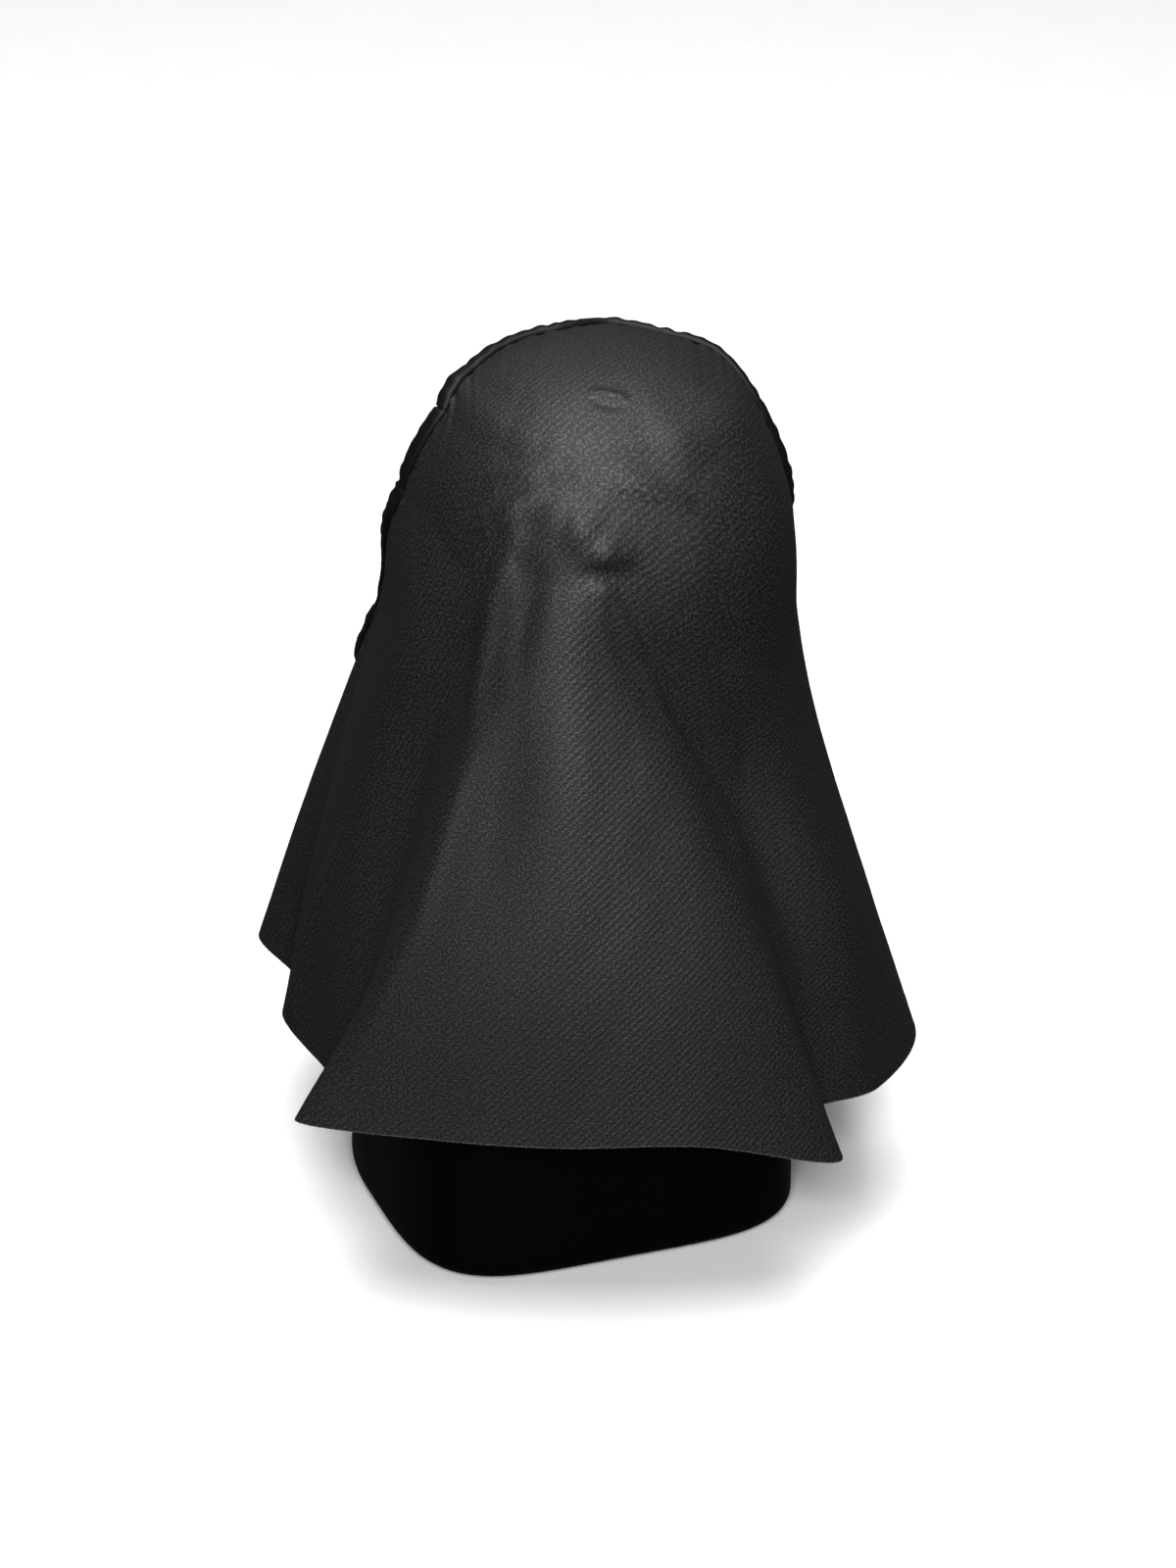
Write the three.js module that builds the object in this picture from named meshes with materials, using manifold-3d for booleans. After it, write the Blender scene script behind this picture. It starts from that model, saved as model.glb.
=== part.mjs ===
// A hooded head-and-neck cape on its display form, in millimetres, +Z up.
// The origin is at the middle of the form's base; the face opening looks along +Y and the back of the cape is at -Y.
import * as THREE from "three";
import { mergeVertices } from "three/addons/utils/BufferGeometryUtils.js";
import Module from "manifold-3d";

const wasm = await Module();
wasm.setup();

// ---- Driving dimensions -------------------------------------------------------------------------------------------

// Display form: a plain upright block with a rounded square back, a shallower front and a domed crown.
const PAD_THICKNESS = 3;
const PAD_INSET = 16;
const FIT_GAP = 0.3; // what touching pieces keep between them
const WALL_HEIGHT = 306; // where the wall ends and the dome starts
const DOME_HEIGHT = 101;
const BASE_ROUND = 9;
// Half sizes of the outline, how square its back is, and how far its middle stands to +X: the form leans a little.
const HEAD = { side: 83, back: 97, front: 68, backPower: 2.4, aside: 5 }; // where the dome starts
const FOOT = { side: 93, back: 93, front: 98, backPower: 4.2, aside: -9 }; // at the base
const FRONT_POWER = 2.2;

// Cape: one panel with an elastic casing round the face opening.
const PANEL_THICKNESS = 1.6;
const CROWN_CLEARANCE = 2.6; // from the form to the middle of the cloth
const FRONT_HEM_Y = 141;
const FRONT_DROP = 231; // from the wall's top to the front hem
const FRONT_HEM_Z = WALL_HEIGHT - FRONT_DROP;
const FRONT_SLOPE = 22 / 85; // how far the front leans out for each millimetre it drops
const FRONT_SLIT = 4;
const CASING = { width: 9, depth: 4.4, wall: 0.9 };
const ELASTIC = { width: 5, depth: 1 };

// Front closure: a flap sewn along its right edge and held by three press studs on its left.
const FLAP = { left: -21, hinge: 20, length: 118, thickness: 1.2, corner: 6, drop: 165 }; // drop is from the wall's top
const SEAM_WIDTH = 8;
const SNAP = { count: 3, pitch: 40, x: -12, flange: 5, shank: 1.1, head: 2.1 };
const STUD_RISE = 1.7; // stud head above its flange
const STUD_FLANGE = 0.6;
const SOCKET_FLOOR = 0.7;
const CAP_THICKNESS = 1;
const POST_THICKNESS = 0.8;
const ROUND_STEPS = 16;
const LABEL = { width: 20, length: 30, thickness: 0.6, x: 14, rise: 25 };

// Mesh density of the cloth.
const CLOTH_STEPS = { around: 84, down: 16 };

// ---- Small helpers ------------------------------------------------------------------------------------------------

const rad = THREE.MathUtils.degToRad;

function catmull(p0, p1, p2, p3, t) {
  const linear = p2 - p0;
  const square = 2 * p0 - 5 * p1 + 4 * p2 - p3;
  const cube = 3 * p1 - p0 - 3 * p2 + p3;
  return 0.5 * (2 * p1 + t * (linear + t * (square + t * cube)));
}

function catmullPoint(a, b, c, d, t) {
  return new THREE.Vector3(
    catmull(a.x, b.x, c.x, d.x, t),
    catmull(a.y, b.y, c.y, d.y, t),
    catmull(a.z, b.z, c.z, d.z, t),
  );
}

const mirrored = (from, about) => about.clone().multiplyScalar(2).sub(from);

function solidOf(geometry) {
  const bare = geometry.clone();
  bare.deleteAttribute("normal");
  bare.deleteAttribute("uv");
  const merged = mergeVertices(bare, 1e-4);
  return new wasm.Manifold(
    new wasm.Mesh({
      numProp: 3,
      vertProperties: merged.attributes.position.array,
      triVerts: new Uint32Array(merged.index.array),
    }),
  );
}

function geometryOf(solid) {
  const mesh = solid.getMesh();
  const geometry = new THREE.BufferGeometry();
  geometry.setAttribute("position", new THREE.BufferAttribute(mesh.vertProperties, 3));
  geometry.setIndex(new THREE.BufferAttribute(mesh.triVerts, 1));
  geometry.computeVertexNormals();
  return geometry;
}

function indexedGeometry(points, triangles) {
  const geometry = new THREE.BufferGeometry().setFromPoints(points);
  geometry.setIndex(triangles);
  geometry.computeVertexNormals();
  return geometry;
}

// A closed body from rings of points. Closed rings (each ring is a loop) make a tube; its two ends are capped.
function loftRings(rings, { cap = true, loop = false } = {}) {
  const size = rings[0].length;
  const points = rings.flat();
  const triangles = [];
  const last = loop ? rings.length : rings.length - 1;
  for (let i = 0; i < last; i += 1) {
    const next = (i + 1) % rings.length;
    for (let j = 0; j < size; j += 1) {
      const k = (j + 1) % size;
      const [a, b, c, d] = [i * size + j, i * size + k, next * size + k, next * size + j];
      triangles.push(a, b, c, a, c, d);
    }
  }
  if (cap) {
    [0, rings.length - 1].forEach((ring, end) => {
      const middle = new THREE.Vector3();
      rings[ring].forEach((p) => middle.add(p));
      points.push(middle.divideScalar(size));
      const centre = points.length - 1;
      for (let j = 0; j < size; j += 1) {
        const a = ring * size + j;
        const b = ring * size + ((j + 1) % size);
        triangles.push(...(end ? [a, b, centre] : [b, a, centre]));
      }
    });
  }
  return indexedGeometry(points, triangles);
}

function named(name, geometry, material) {
  const mesh = new THREE.Mesh(geometry, material);
  mesh.name = name;
  return mesh;
}

// ---- Materials ----------------------------------------------------------------------------------------------------

const finish = (color, roughness, metalness = 0) =>
  new THREE.MeshStandardMaterial({ color, roughness, metalness });

const twillCloth = () => finish(0x3a3a3c, 0.85);
const casingCloth = () => finish(0x2a2a2c, 0.8);
const elasticWeave = () => finish(0x1c1c1e, 0.75);
const formPlastic = () => finish(0x0c0a0b, 0.55);
const padFelt = () => finish(0x202022, 0.95);
const lacqueredBrass = () => finish(0x161617, 0.35, 0.6);
const labelSatin = () => finish(0xd8d6d0, 0.5);

// ---- Display form -------------------------------------------------------------------------------------------------

// Distance from the form's axis to its side, at an angle measured from the back (-Y) towards +X.
function outlineRadius(angle, size) {
  const across = Math.abs(Math.sin(angle)) / size.side;
  const along = Math.abs(Math.cos(angle)) / (Math.cos(angle) > 0 ? size.back : size.front);
  const power = Math.cos(angle) > 0 ? size.backPower : FRONT_POWER;
  return (across ** power + along ** power) ** (-1 / power);
}

function formSize(z) {
  const share = THREE.MathUtils.smoothstep(z, 0, WALL_HEIGHT);
  const size = {};
  Object.keys(FOOT).forEach((key) => {
    size[key] = THREE.MathUtils.lerp(FOOT[key], HEAD[key], share);
  });
  return size;
}

const aroundAxis = (angle, radius, z, aside = 0) =>
  new THREE.Vector3(aside + radius * Math.sin(angle), -radius * Math.cos(angle), z);

// A point on the form's wall, or inset inside it.
function wallPoint(angle, z, inset = 0) {
  const size = formSize(z);
  return aroundAxis(angle, outlineRadius(angle, size) - inset, z, size.aside);
}

// A ring on the dome. share is its radius as a share of the form's, and grow is how far it stands off the form.
function domePoint(angle, share, grow) {
  const rise = (DOME_HEIGHT + grow) * (1 - share ** HEAD.backPower) ** (1 / HEAD.backPower);
  const radius = (outlineRadius(angle, HEAD) + grow) * share;
  return aroundAxis(angle, radius, WALL_HEIGHT + rise, HEAD.aside);
}

// A point pushed out, where it has to be, until it stands gap clear of the form.
function clearOfForm(point, gap) {
  const size = formSize(point.z);
  const x = point.x - size.aside;
  const angle = Math.atan2(x, -point.y);
  const radius = Math.hypot(x, point.y);
  if (point.z <= WALL_HEIGHT) {
    const least = outlineRadius(angle, size) + gap;
    const grow = Math.max(1, least / radius);
    return new THREE.Vector3(size.aside + x * grow, point.y * grow, point.z);
  }
  const power = HEAD.backPower;
  const across = radius / (outlineRadius(angle, HEAD) + gap);
  const up = (point.z - WALL_HEIGHT) / (DOME_HEIGHT + gap);
  const grow = Math.max(1, (across ** power + up ** power) ** (-1 / power));
  const z = WALL_HEIGHT + (point.z - WALL_HEIGHT) * grow;
  return new THREE.Vector3(size.aside + x * grow, point.y * grow, z);
}

function headForm() {
  const steps = 36;
  const bottom = PAD_THICKNESS + FIT_GAP;
  const ringOf = (point) => Array.from({ length: steps }, (_, i) => point((2 * Math.PI * i) / steps));
  const rings = [];
  [0, 30, 60, 90].forEach((turn) => {
    const inset = BASE_ROUND * (1 - Math.sin(rad(turn)));
    const z = bottom + BASE_ROUND * (1 - Math.cos(rad(turn)));
    rings.push(ringOf((angle) => wallPoint(angle, z, inset)));
  });
  const wallSteps = 5;
  for (let i = 1; i <= wallSteps; i += 1) {
    const z = THREE.MathUtils.lerp(bottom + BASE_ROUND, WALL_HEIGHT, i / wallSteps);
    rings.push(ringOf((angle) => wallPoint(angle, z)));
  }
  [0.98, 0.93, 0.85, 0.74, 0.6, 0.42, 0.2].forEach((share) => {
    rings.push(ringOf((angle) => domePoint(angle, share, 0)));
  });
  return named("head_form", loftRings(rings), formPlastic());
}

function basePad() {
  const steps = 48;
  const corners = Array.from({ length: steps }, (_, i) => {
    const angle = (2 * Math.PI * i) / steps;
    const p = aroundAxis(angle, outlineRadius(angle, FOOT) - PAD_INSET, 0, FOOT.aside);
    return new THREE.Vector2(p.x, p.y);
  });
  const geometry = new THREE.ExtrudeGeometry(new THREE.Shape(corners), {
    depth: PAD_THICKNESS,
    bevelEnabled: false,
  });
  return named("base_pad", geometry, padFelt());
}

// ---- Drape of the cape --------------------------------------------------------------------------------------------

const frontY = (z) => FRONT_HEM_Y - (z - FRONT_HEM_Z) * FRONT_SLOPE;
const FRONT_RISES = [29, -16, -81, -146, -FRONT_DROP];
const frontRib = (x, upper) =>
  FRONT_RISES.map((rise, i) => [x * (upper[i] ?? 1), frontY(WALL_HEIGHT + rise), rise]);

// Each rib is one ridge, valley or smooth run of the cloth, from the dome down to the hem. turn is its angle on the
// dome in degrees, from the back towards +X, puff is how far it stands off the dome beyond the clearance, and points
// are its [x, y, height above the wall's top].
const RIBS = [
  { turn: -166, puff: 0, points: frontRib(-28, [0.93, 1]) },
  { turn: -152, puff: 0, points: frontRib(-60, [0.83, 0.93]) },
  { turn: -128, puff: 0, points: [[-64, 34, 29], [-72, 44, -14], [-86, 60, -68], [-104, 80, -141], [-121, 93, -208]] },
  { turn: -108, puff: 0, points: [[-69, 40, 28], [-76, 40, -16], [-90, 43, -69], [-107, 48, -144], [-116, 50, -213]] },
  { turn: -95, puff: 0, points: [[-79, 14, 30], [-86, 12, -13], [-100, 13, -68], [-120, 16, -141], [-134, 18, -211]] },
  { turn: -70, puff: 0, points: [[-78, -27, 32], [-91, -29, -12], [-103, -21, -68], [-119, -23, -144], [-130, -29, -213]] },
  { turn: -48, puff: 0, points: [[-60, -65, 35], [-76, -56, -10], [-89, -51, -66], [-111, -53, -146], [-128, -56, -214]] },
  { turn: -34, puff: 0, points: [[-51, -76, 35], [-67, -80, -9], [-91, -83, -66], [-121, -82, -144], [-156, -71, -213]] },
  { turn: -28, puff: 0, points: [[-45, -82, 35], [-57, -91, -7], [-70, -100, -63], [-91, -110, -138], [-107, -113, -209]] },
  { turn: -22, puff: 0, points: [[-34, -85, 35], [-41, -100, -6], [-47, -115, -61], [-54, -130, -136], [-59, -138, -209]] },
  { turn: -16, puff: 0, points: [[-25, -88, 35], [-23, -102, -7], [-17, -120, -63], [-7, -141, -138], [1, -155, -211]] },
  { turn: -10, puff: 0, points: [[-18, -86, 35], [-8, -100, -9], [10, -118, -65], [37, -138, -143], [66, -152, -233]] },
  { turn: 0, puff: 0, points: [[-8, -86, 36], [9, -93, -11], [31, -96, -66], [53, -113, -146], [62, -125, -222]] },
  { turn: 16, puff: 1, points: [[27, -86, 33], [43, -88, -13], [65, -90, -68], [89, -101, -146], [101, -109, -226]] },
  { turn: 42, puff: 2, points: [[65, -61, 34], [78, -56, -14], [92, -55, -69], [113, -63, -146], [136, -70, -226]] },
  { turn: 70, puff: 3, points: [[90, -19, 32], [91, -13, -16], [99, -11, -71], [123, -9, -148], [146, -11, -231]] },
  { turn: 100, puff: 3, points: [[92, 12, 27], [95, 19, -16], [105, 24, -71], [128, 31, -146], [145, 37, -234]] },
  { turn: 140, puff: 2, points: frontRib(60, [0.83, 0.93]) },
  { turn: 166, puff: 1, points: frontRib(28, [0.93, 1]) },
];
const DOME_SHARES = [0, 0.3, 0.55, 0.75];
const PUFF_SHARES = [0, 0.35, 0.8, 1];
const STATIONS = DOME_SHARES.length + RIBS[0].points.length - 1; // the last station is the hem

// The rim of the face opening, as [angle in degrees, station], from the chin up the left side to the forehead.
const CHIN_STATION = 6.2;
const RIM_LEFT = [[-160, 6.2], [-140, 6], [-121, 5.5], [-105, 4.8], [-98, 4], [-99, 3.2], [-112, 2.4], [-142, 1.7]];
const RIM_TOP = [180, 1.5];
const RIM_RIGHT = [
  [146, 1.65], [115, 2.1], [92, 2.8], [80, 3.5], [76, 4.2], [80, 4.9], [98, 5.6], [126, 6.1], [155, 6.2],
];

function ribControls(rib) {
  const angle = rad(rib.turn);
  const dome = DOME_SHARES.map((share, i) => {
    const puff = rib.puff * PUFF_SHARES[i];
    const point = domePoint(angle, share, CROWN_CLEARANCE);
    return point.add(aroundAxis(angle, puff, puff / 2));
  });
  const hanging = rib.points.map(([x, y, rise]) =>
    clearOfForm(new THREE.Vector3(x, y, WALL_HEIGHT + rise), CROWN_CLEARANCE),
  );
  return [...dome, ...hanging];
}

const CONTROLS = RIBS.map(ribControls);

function alongRib(index, station) {
  const rib = CONTROLS[THREE.MathUtils.euclideanModulo(index, RIBS.length)];
  const from = THREE.MathUtils.clamp(Math.floor(station), 0, STATIONS - 1);
  const across = new THREE.Vector3(2 * rib[0].x - rib[1].x, -rib[1].y, rib[1].z);
  const before = from > 0 ? rib[from - 1] : across;
  const after = from + 2 <= STATIONS ? rib[from + 2] : mirrored(rib[STATIONS - 1], rib[STATIONS]);
  return catmullPoint(before, rib[from], rib[from + 1], after, station - from);
}

// A point of the draped cloth: place runs round the ribs and station runs from the crown to the hem.
function drapePoint(place, station) {
  const from = Math.floor(place);
  const near = [-1, 0, 1, 2].map((step) => alongRib(from + step, station));
  return catmullPoint(...near, place - from);
}

const ribTurn = (index) => {
  const round = Math.floor(index / RIBS.length);
  return RIBS[index - round * RIBS.length].turn + 360 * round;
};

function turnAtPlace(place) {
  const from = Math.floor(place);
  return THREE.MathUtils.lerp(ribTurn(from), ribTurn(from + 1), place - from);
}

function placeAtTurn(turn) {
  let from = -2;
  while (ribTurn(from + 1) <= turn) from += 1;
  return from + (turn - ribTurn(from)) / (ribTurn(from + 1) - ribTurn(from));
}

// The place round the hem where the front edge of the cloth stands x to the side of the middle.
function placeAtFront(x) {
  let [low, high] = [-1, 0];
  for (let i = 0; i < 40; i += 1) {
    const middle = (low + high) / 2;
    if (drapePoint(middle, STATIONS).x > x) low = middle;
    else high = middle;
  }
  return low;
}

const FIRST_PLACE = placeAtFront(-FRONT_SLIT / 2);
const LAST_PLACE = RIBS.length + placeAtFront(FRONT_SLIT / 2);

// The cloth laid out as a disc, with the crown at its middle, so that rows can run from the rim to the hem.
const onDisc = (turn, station) =>
  new THREE.Vector3(station * Math.sin(rad(turn)), -station * Math.cos(rad(turn)), 0);

const RIM_POINTS = [
  [turnAtPlace(FIRST_PLACE), CHIN_STATION],
  ...RIM_LEFT,
  RIM_TOP,
  ...RIM_RIGHT,
  [turnAtPlace(LAST_PLACE), CHIN_STATION],
].map(([turn, station]) => onDisc(turn, station));

function rimOnDisc(share) {
  const last = RIM_POINTS.length - 1;
  const s = share * last;
  const from = Math.min(Math.floor(s), last - 1);
  const before = from > 0 ? RIM_POINTS[from - 1] : mirrored(RIM_POINTS[1], RIM_POINTS[0]);
  const after = from + 2 <= last ? RIM_POINTS[from + 2] : mirrored(RIM_POINTS[last - 1], RIM_POINTS[last]);
  return catmullPoint(before, RIM_POINTS[from], RIM_POINTS[from + 1], after, s - from);
}

// A point of the cape: around runs from one front edge to the other and down runs from the rim to the hem.
function capePoint(around, down) {
  const hemPlace = THREE.MathUtils.lerp(FIRST_PLACE, LAST_PLACE, around);
  const spot = rimOnDisc(around).lerp(onDisc(turnAtPlace(hemPlace), STATIONS), down);
  const turn = THREE.MathUtils.radToDeg(Math.atan2(spot.x, -spot.y));
  return clearOfForm(drapePoint(placeAtTurn(turn), Math.min(spot.length(), STATIONS)), CROWN_CLEARANCE);
}

function capeNormal(around, down) {
  const step = 0.004;
  const along = capePoint(Math.min(around + step, 1), down).sub(capePoint(Math.max(around - step, 0), down));
  const fall = capePoint(around, Math.min(down + step, 1)).sub(capePoint(around, Math.max(down - step, -0.1)));
  return along.cross(fall).normalize();
}

// ---- Cape cloth ---------------------------------------------------------------------------------------------------

// Each ring goes down the outside of the cloth and back up its inside.
function panelGeometry() {
  const rings = [];
  for (let i = 0; i <= CLOTH_STEPS.around; i += 1) {
    const around = i / CLOTH_STEPS.around;
    const outside = [];
    const inside = [];
    for (let j = 0; j <= CLOTH_STEPS.down; j += 1) {
      const down = j / CLOTH_STEPS.down;
      const point = capePoint(around, down);
      const half = capeNormal(around, down).multiplyScalar(PANEL_THICKNESS / 2);
      outside.push(point.clone().sub(half));
      inside.push(point.clone().add(half));
    }
    rings.push([...outside, ...inside.reverse()]);
  }
  return stripOfRings(rings);
}

// Rings whose two halves face each other: the ends are closed by joining each outer point to its inner one.
function stripOfRings(rings) {
  const size = rings[0].length;
  const half = size / 2;
  const geometry = loftRings(rings, { cap: false });
  const triangles = Array.from(geometry.index.array);
  [0, rings.length - 1].forEach((ring, end) => {
    for (let j = 0; j < half - 1; j += 1) {
      const [a, b] = [ring * size + j, ring * size + j + 1];
      const [c, d] = [ring * size + size - 2 - j, ring * size + size - 1 - j];
      triangles.push(...(end ? [a, b, c, a, c, d] : [a, c, b, a, d, c]));
    }
  });
  geometry.setIndex(triangles);
  return geometry;
}

function orientOut(geometry) {
  const triangles = Array.from(geometry.index.array);
  const p = geometry.attributes.position;
  const corner = (i) => new THREE.Vector3().fromBufferAttribute(p, i);
  let volume = 0;
  for (let i = 0; i < triangles.length; i += 3) {
    const [a, b, c] = [corner(triangles[i]), corner(triangles[i + 1]), corner(triangles[i + 2])];
    volume += a.dot(b.cross(c));
  }
  if (volume < 0) {
    for (let i = 0; i < triangles.length; i += 3) {
      [triangles[i + 1], triangles[i + 2]] = [triangles[i + 2], triangles[i + 1]];
    }
    geometry.setIndex(triangles);
  }
  return geometry;
}

// Frames along the rim: the point, the way out of the cloth towards the face, and the outward normal.
function rimFrames(beyond, lift) {
  const frames = [];
  for (let i = 0; i <= CLOTH_STEPS.around; i += 1) {
    const around = i / CLOTH_STEPS.around;
    const rim = capePoint(around, 0);
    const out = rim.clone().sub(capePoint(around, 0.02));
    const normal = capeNormal(around, 0.01).negate();
    const tangent = capePoint(Math.min(around + 0.01, 1), 0).sub(capePoint(Math.max(around - 0.01, 0), 0)).normalize();
    out.addScaledVector(tangent, -out.dot(tangent)).normalize();
    normal.addScaledVector(out, -normal.dot(out)).normalize();
    frames.push({ at: rim.addScaledVector(out, beyond).addScaledVector(normal, lift), out, normal });
  }
  return frames;
}

const CASING_SECTION = [[1, 0], [0.7, 1], [-0.7, 1], [-1, 0], [-0.7, -1], [0.7, -1]];
const CASING_LIFT = 0.9; // keeps the casing's inner face off the form
const CASING_BEYOND = CASING.width / 2 + FIT_GAP;
const CASING_CLEARANCE = 2 * FIT_GAP; // from the form to the casing's skin

const sectionPoints = (frame, section, { width, depth }, clearance) =>
  section.map(([u, v]) => {
    const across = frame.at.clone().addScaledVector(frame.out, (u * width) / 2);
    return clearOfForm(across.addScaledVector(frame.normal, (v * depth) / 2), clearance);
  });

// The casing is open at both ends: its outside runs one way and its inside comes back, as one closed skin.
function rimCasing() {
  const frames = rimFrames(CASING_BEYOND, CASING_LIFT);
  const hollow = { width: CASING.width - 2 * CASING.wall, depth: CASING.depth - 2 * CASING.wall };
  const outside = frames.map((f) => sectionPoints(f, CASING_SECTION, CASING, CASING_CLEARANCE));
  const inside = frames.map((f) => sectionPoints(f, CASING_SECTION, hollow, CASING_CLEARANCE + CASING.wall));
  const geometry = loftRings([...outside, ...inside.reverse()], { cap: false, loop: true });
  return named("rim_casing", orientOut(geometry), casingCloth());
}

function elasticBand() {
  const frames = rimFrames(CASING_BEYOND, CASING_LIFT);
  const section = [[1, 1], [-1, 1], [-1, -1], [1, -1]];
  const clearance = CASING_CLEARANCE + CASING.wall + FIT_GAP;
  const rings = frames.map((f) => sectionPoints(f, section, ELASTIC, clearance));
  return named("elastic_band", orientOut(loftRings(rings)), elasticWeave());
}

// ---- Front closure ------------------------------------------------------------------------------------------------

// The closure's own frame: X to the side, Y out of the cloth and Z up along the leaning front.
const closure = new THREE.Group();
const FLAP_MIDDLE = WALL_HEIGHT - FLAP.drop;
closure.position.set(0, frontY(FLAP_MIDDLE), FLAP_MIDDLE);
closure.rotation.x = Math.atan(FRONT_SLOPE);
closure.updateMatrixWorld(true);

// Heights out of the middle of the cloth, from the panel's face to the cap on the flap.
const PANEL_FACE = PANEL_THICKNESS / 2;
const STUD_FOOT = PANEL_FACE + FIT_GAP;
const STUD_TOP = STUD_FOOT + STUD_FLANGE + STUD_RISE;
const SOCKET_FOOT = STUD_FOOT + STUD_FLANGE + FIT_GAP;
const SOCKET_ROOF = STUD_TOP + FIT_GAP;
const SOCKET_TOP = SOCKET_ROOF + SOCKET_FLOOR;
const FLAP_FOOT = SOCKET_TOP + FIT_GAP;
const FLAP_FACE = FLAP_FOOT + FLAP.thickness;
const CAP_FOOT = FLAP_FACE + FIT_GAP;

const snapRise = (i) => (i - (SNAP.count - 1) / 2) * SNAP.pitch;

function roundedPlate(left, right, bottom, top, corner, thickness, holes = []) {
  const shape = new THREE.Shape();
  shape.moveTo(left + corner, bottom);
  shape.lineTo(right, bottom);
  shape.lineTo(right, top);
  shape.lineTo(left + corner, top);
  shape.absarc(left + corner, top - corner, corner, rad(90), rad(180), false);
  shape.lineTo(left, bottom + corner);
  shape.absarc(left + corner, bottom + corner, corner, rad(180), rad(270), false);
  holes.forEach(([x, y, radius]) => {
    shape.holes.push(new THREE.Path().absarc(x, y, radius, 0, 2 * Math.PI, true));
  });
  const geometry = new THREE.ExtrudeGeometry(shape, { depth: thickness, bevelEnabled: false, curveSegments: 6 });
  return geometry.rotateX(rad(90)).translate(0, thickness, 0);
}

function closureFlap() {
  const half = FLAP.length / 2;
  const hole = SNAP.shank + 2 * FIT_GAP;
  const holes = Array.from({ length: SNAP.count }, (_, i) => [SNAP.x, snapRise(i), hole]);
  const geometry = roundedPlate(FLAP.left, FLAP.hinge, -half, half, FLAP.corner, FLAP.thickness, holes);
  return named("closure_flap", geometry.translate(0, FLAP_FOOT, 0), twillCloth());
}

function flapSeam() {
  const depth = FLAP_FOOT - FIT_GAP - STUD_FOOT;
  const geometry = new THREE.BoxGeometry(SEAM_WIDTH, depth, FLAP.length);
  geometry.translate(FLAP.hinge - SEAM_WIDTH / 2, STUD_FOOT + depth / 2, 0);
  return named("flap_seam", geometry, casingCloth());
}

function careLabel() {
  const geometry = new THREE.BoxGeometry(LABEL.width, LABEL.thickness, LABEL.length);
  geometry.translate(LABEL.x, -PANEL_FACE - FIT_GAP - LABEL.thickness / 2, LABEL.rise);
  return named("care_label", geometry, labelSatin());
}

const lathe = (profile) =>
  new THREE.LatheGeometry(profile.map(([r, y]) => new THREE.Vector2(r, y)), ROUND_STEPS);

function snapCap() {
  const shankEnd = SOCKET_ROOF + 0.1;
  return lathe([
    [0, shankEnd],
    [SNAP.shank, shankEnd],
    [SNAP.shank, CAP_FOOT],
    [SNAP.flange, CAP_FOOT],
    [SNAP.flange - 0.6, CAP_FOOT + CAP_THICKNESS * 0.7],
    [SNAP.flange / 2, CAP_FOOT + CAP_THICKNESS],
    [0, CAP_FOOT + CAP_THICKNESS],
  ]);
}

function snapSocket() {
  const bore = SNAP.head + 2 * FIT_GAP;
  const throat = SNAP.shank + FIT_GAP;
  return lathe([
    [bore, SOCKET_FOOT],
    [SNAP.flange - 0.8, SOCKET_FOOT],
    [SNAP.flange, SOCKET_ROOF],
    [SNAP.flange, SOCKET_TOP],
    [throat, SOCKET_TOP],
    [throat, SOCKET_ROOF],
    [bore, SOCKET_ROOF],
    [bore, SOCKET_FOOT],
  ]);
}

function snapStud() {
  const bore = SNAP.shank + FIT_GAP;
  return lathe([
    [0, STUD_TOP - 0.4],
    [bore, STUD_TOP - 0.4],
    [bore, STUD_FOOT],
    [SNAP.flange, STUD_FOOT],
    [SNAP.flange, STUD_FOOT + STUD_FLANGE],
    [SNAP.head - 0.3, STUD_FOOT + STUD_FLANGE],
    [SNAP.head, STUD_TOP - 0.5],
    [SNAP.head - 0.4, STUD_TOP],
    [0, STUD_TOP],
  ]);
}

function snapPost() {
  const foot = -PANEL_FACE - FIT_GAP;
  const tip = STUD_TOP - 0.4 - FIT_GAP;
  return lathe([
    [0, foot - POST_THICKNESS],
    [SNAP.flange, foot - POST_THICKNESS],
    [SNAP.flange, foot],
    [SNAP.shank, foot],
    [SNAP.shank, tip],
    [0, tip],
  ]);
}

function pressStuds() {
  const makers = { snap_cap: snapCap, snap_socket: snapSocket, snap_stud: snapStud, snap_post: snapPost };
  const pieces = [];
  for (let i = 0; i < SNAP.count; i += 1) {
    Object.entries(makers).forEach(([name, make]) => {
      const piece = named(`${name}_${i + 1}`, make(), lacqueredBrass());
      piece.position.set(SNAP.x, 0, snapRise(i));
      pieces.push(piece);
    });
  }
  return pieces;
}

// The panel, pierced where the posts of the press studs pass through it.
function capePanel() {
  let solid = solidOf(orientOut(panelGeometry()));
  for (let i = 0; i < SNAP.count; i += 1) {
    const hole = new THREE.CylinderGeometry(SNAP.shank + FIT_GAP, SNAP.shank + FIT_GAP, 8, ROUND_STEPS);
    hole.translate(SNAP.x, 0, snapRise(i)).applyMatrix4(closure.matrixWorld);
    solid = solid.subtract(solidOf(hole));
  }
  return named("cape_panel", geometryOf(solid), twillCloth());
}

// ---- Assembly -----------------------------------------------------------------------------------------------------

closure.add(closureFlap(), flapSeam(), careLabel(), ...pressStuds());

const cape = new THREE.Group();
cape.add(capePanel(), rimCasing(), elasticBand(), closure);

const display = new THREE.Group();
display.add(headForm(), basePad());

const assembly = new THREE.Group();
assembly.add(display, cape);

export default assembly;
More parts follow.
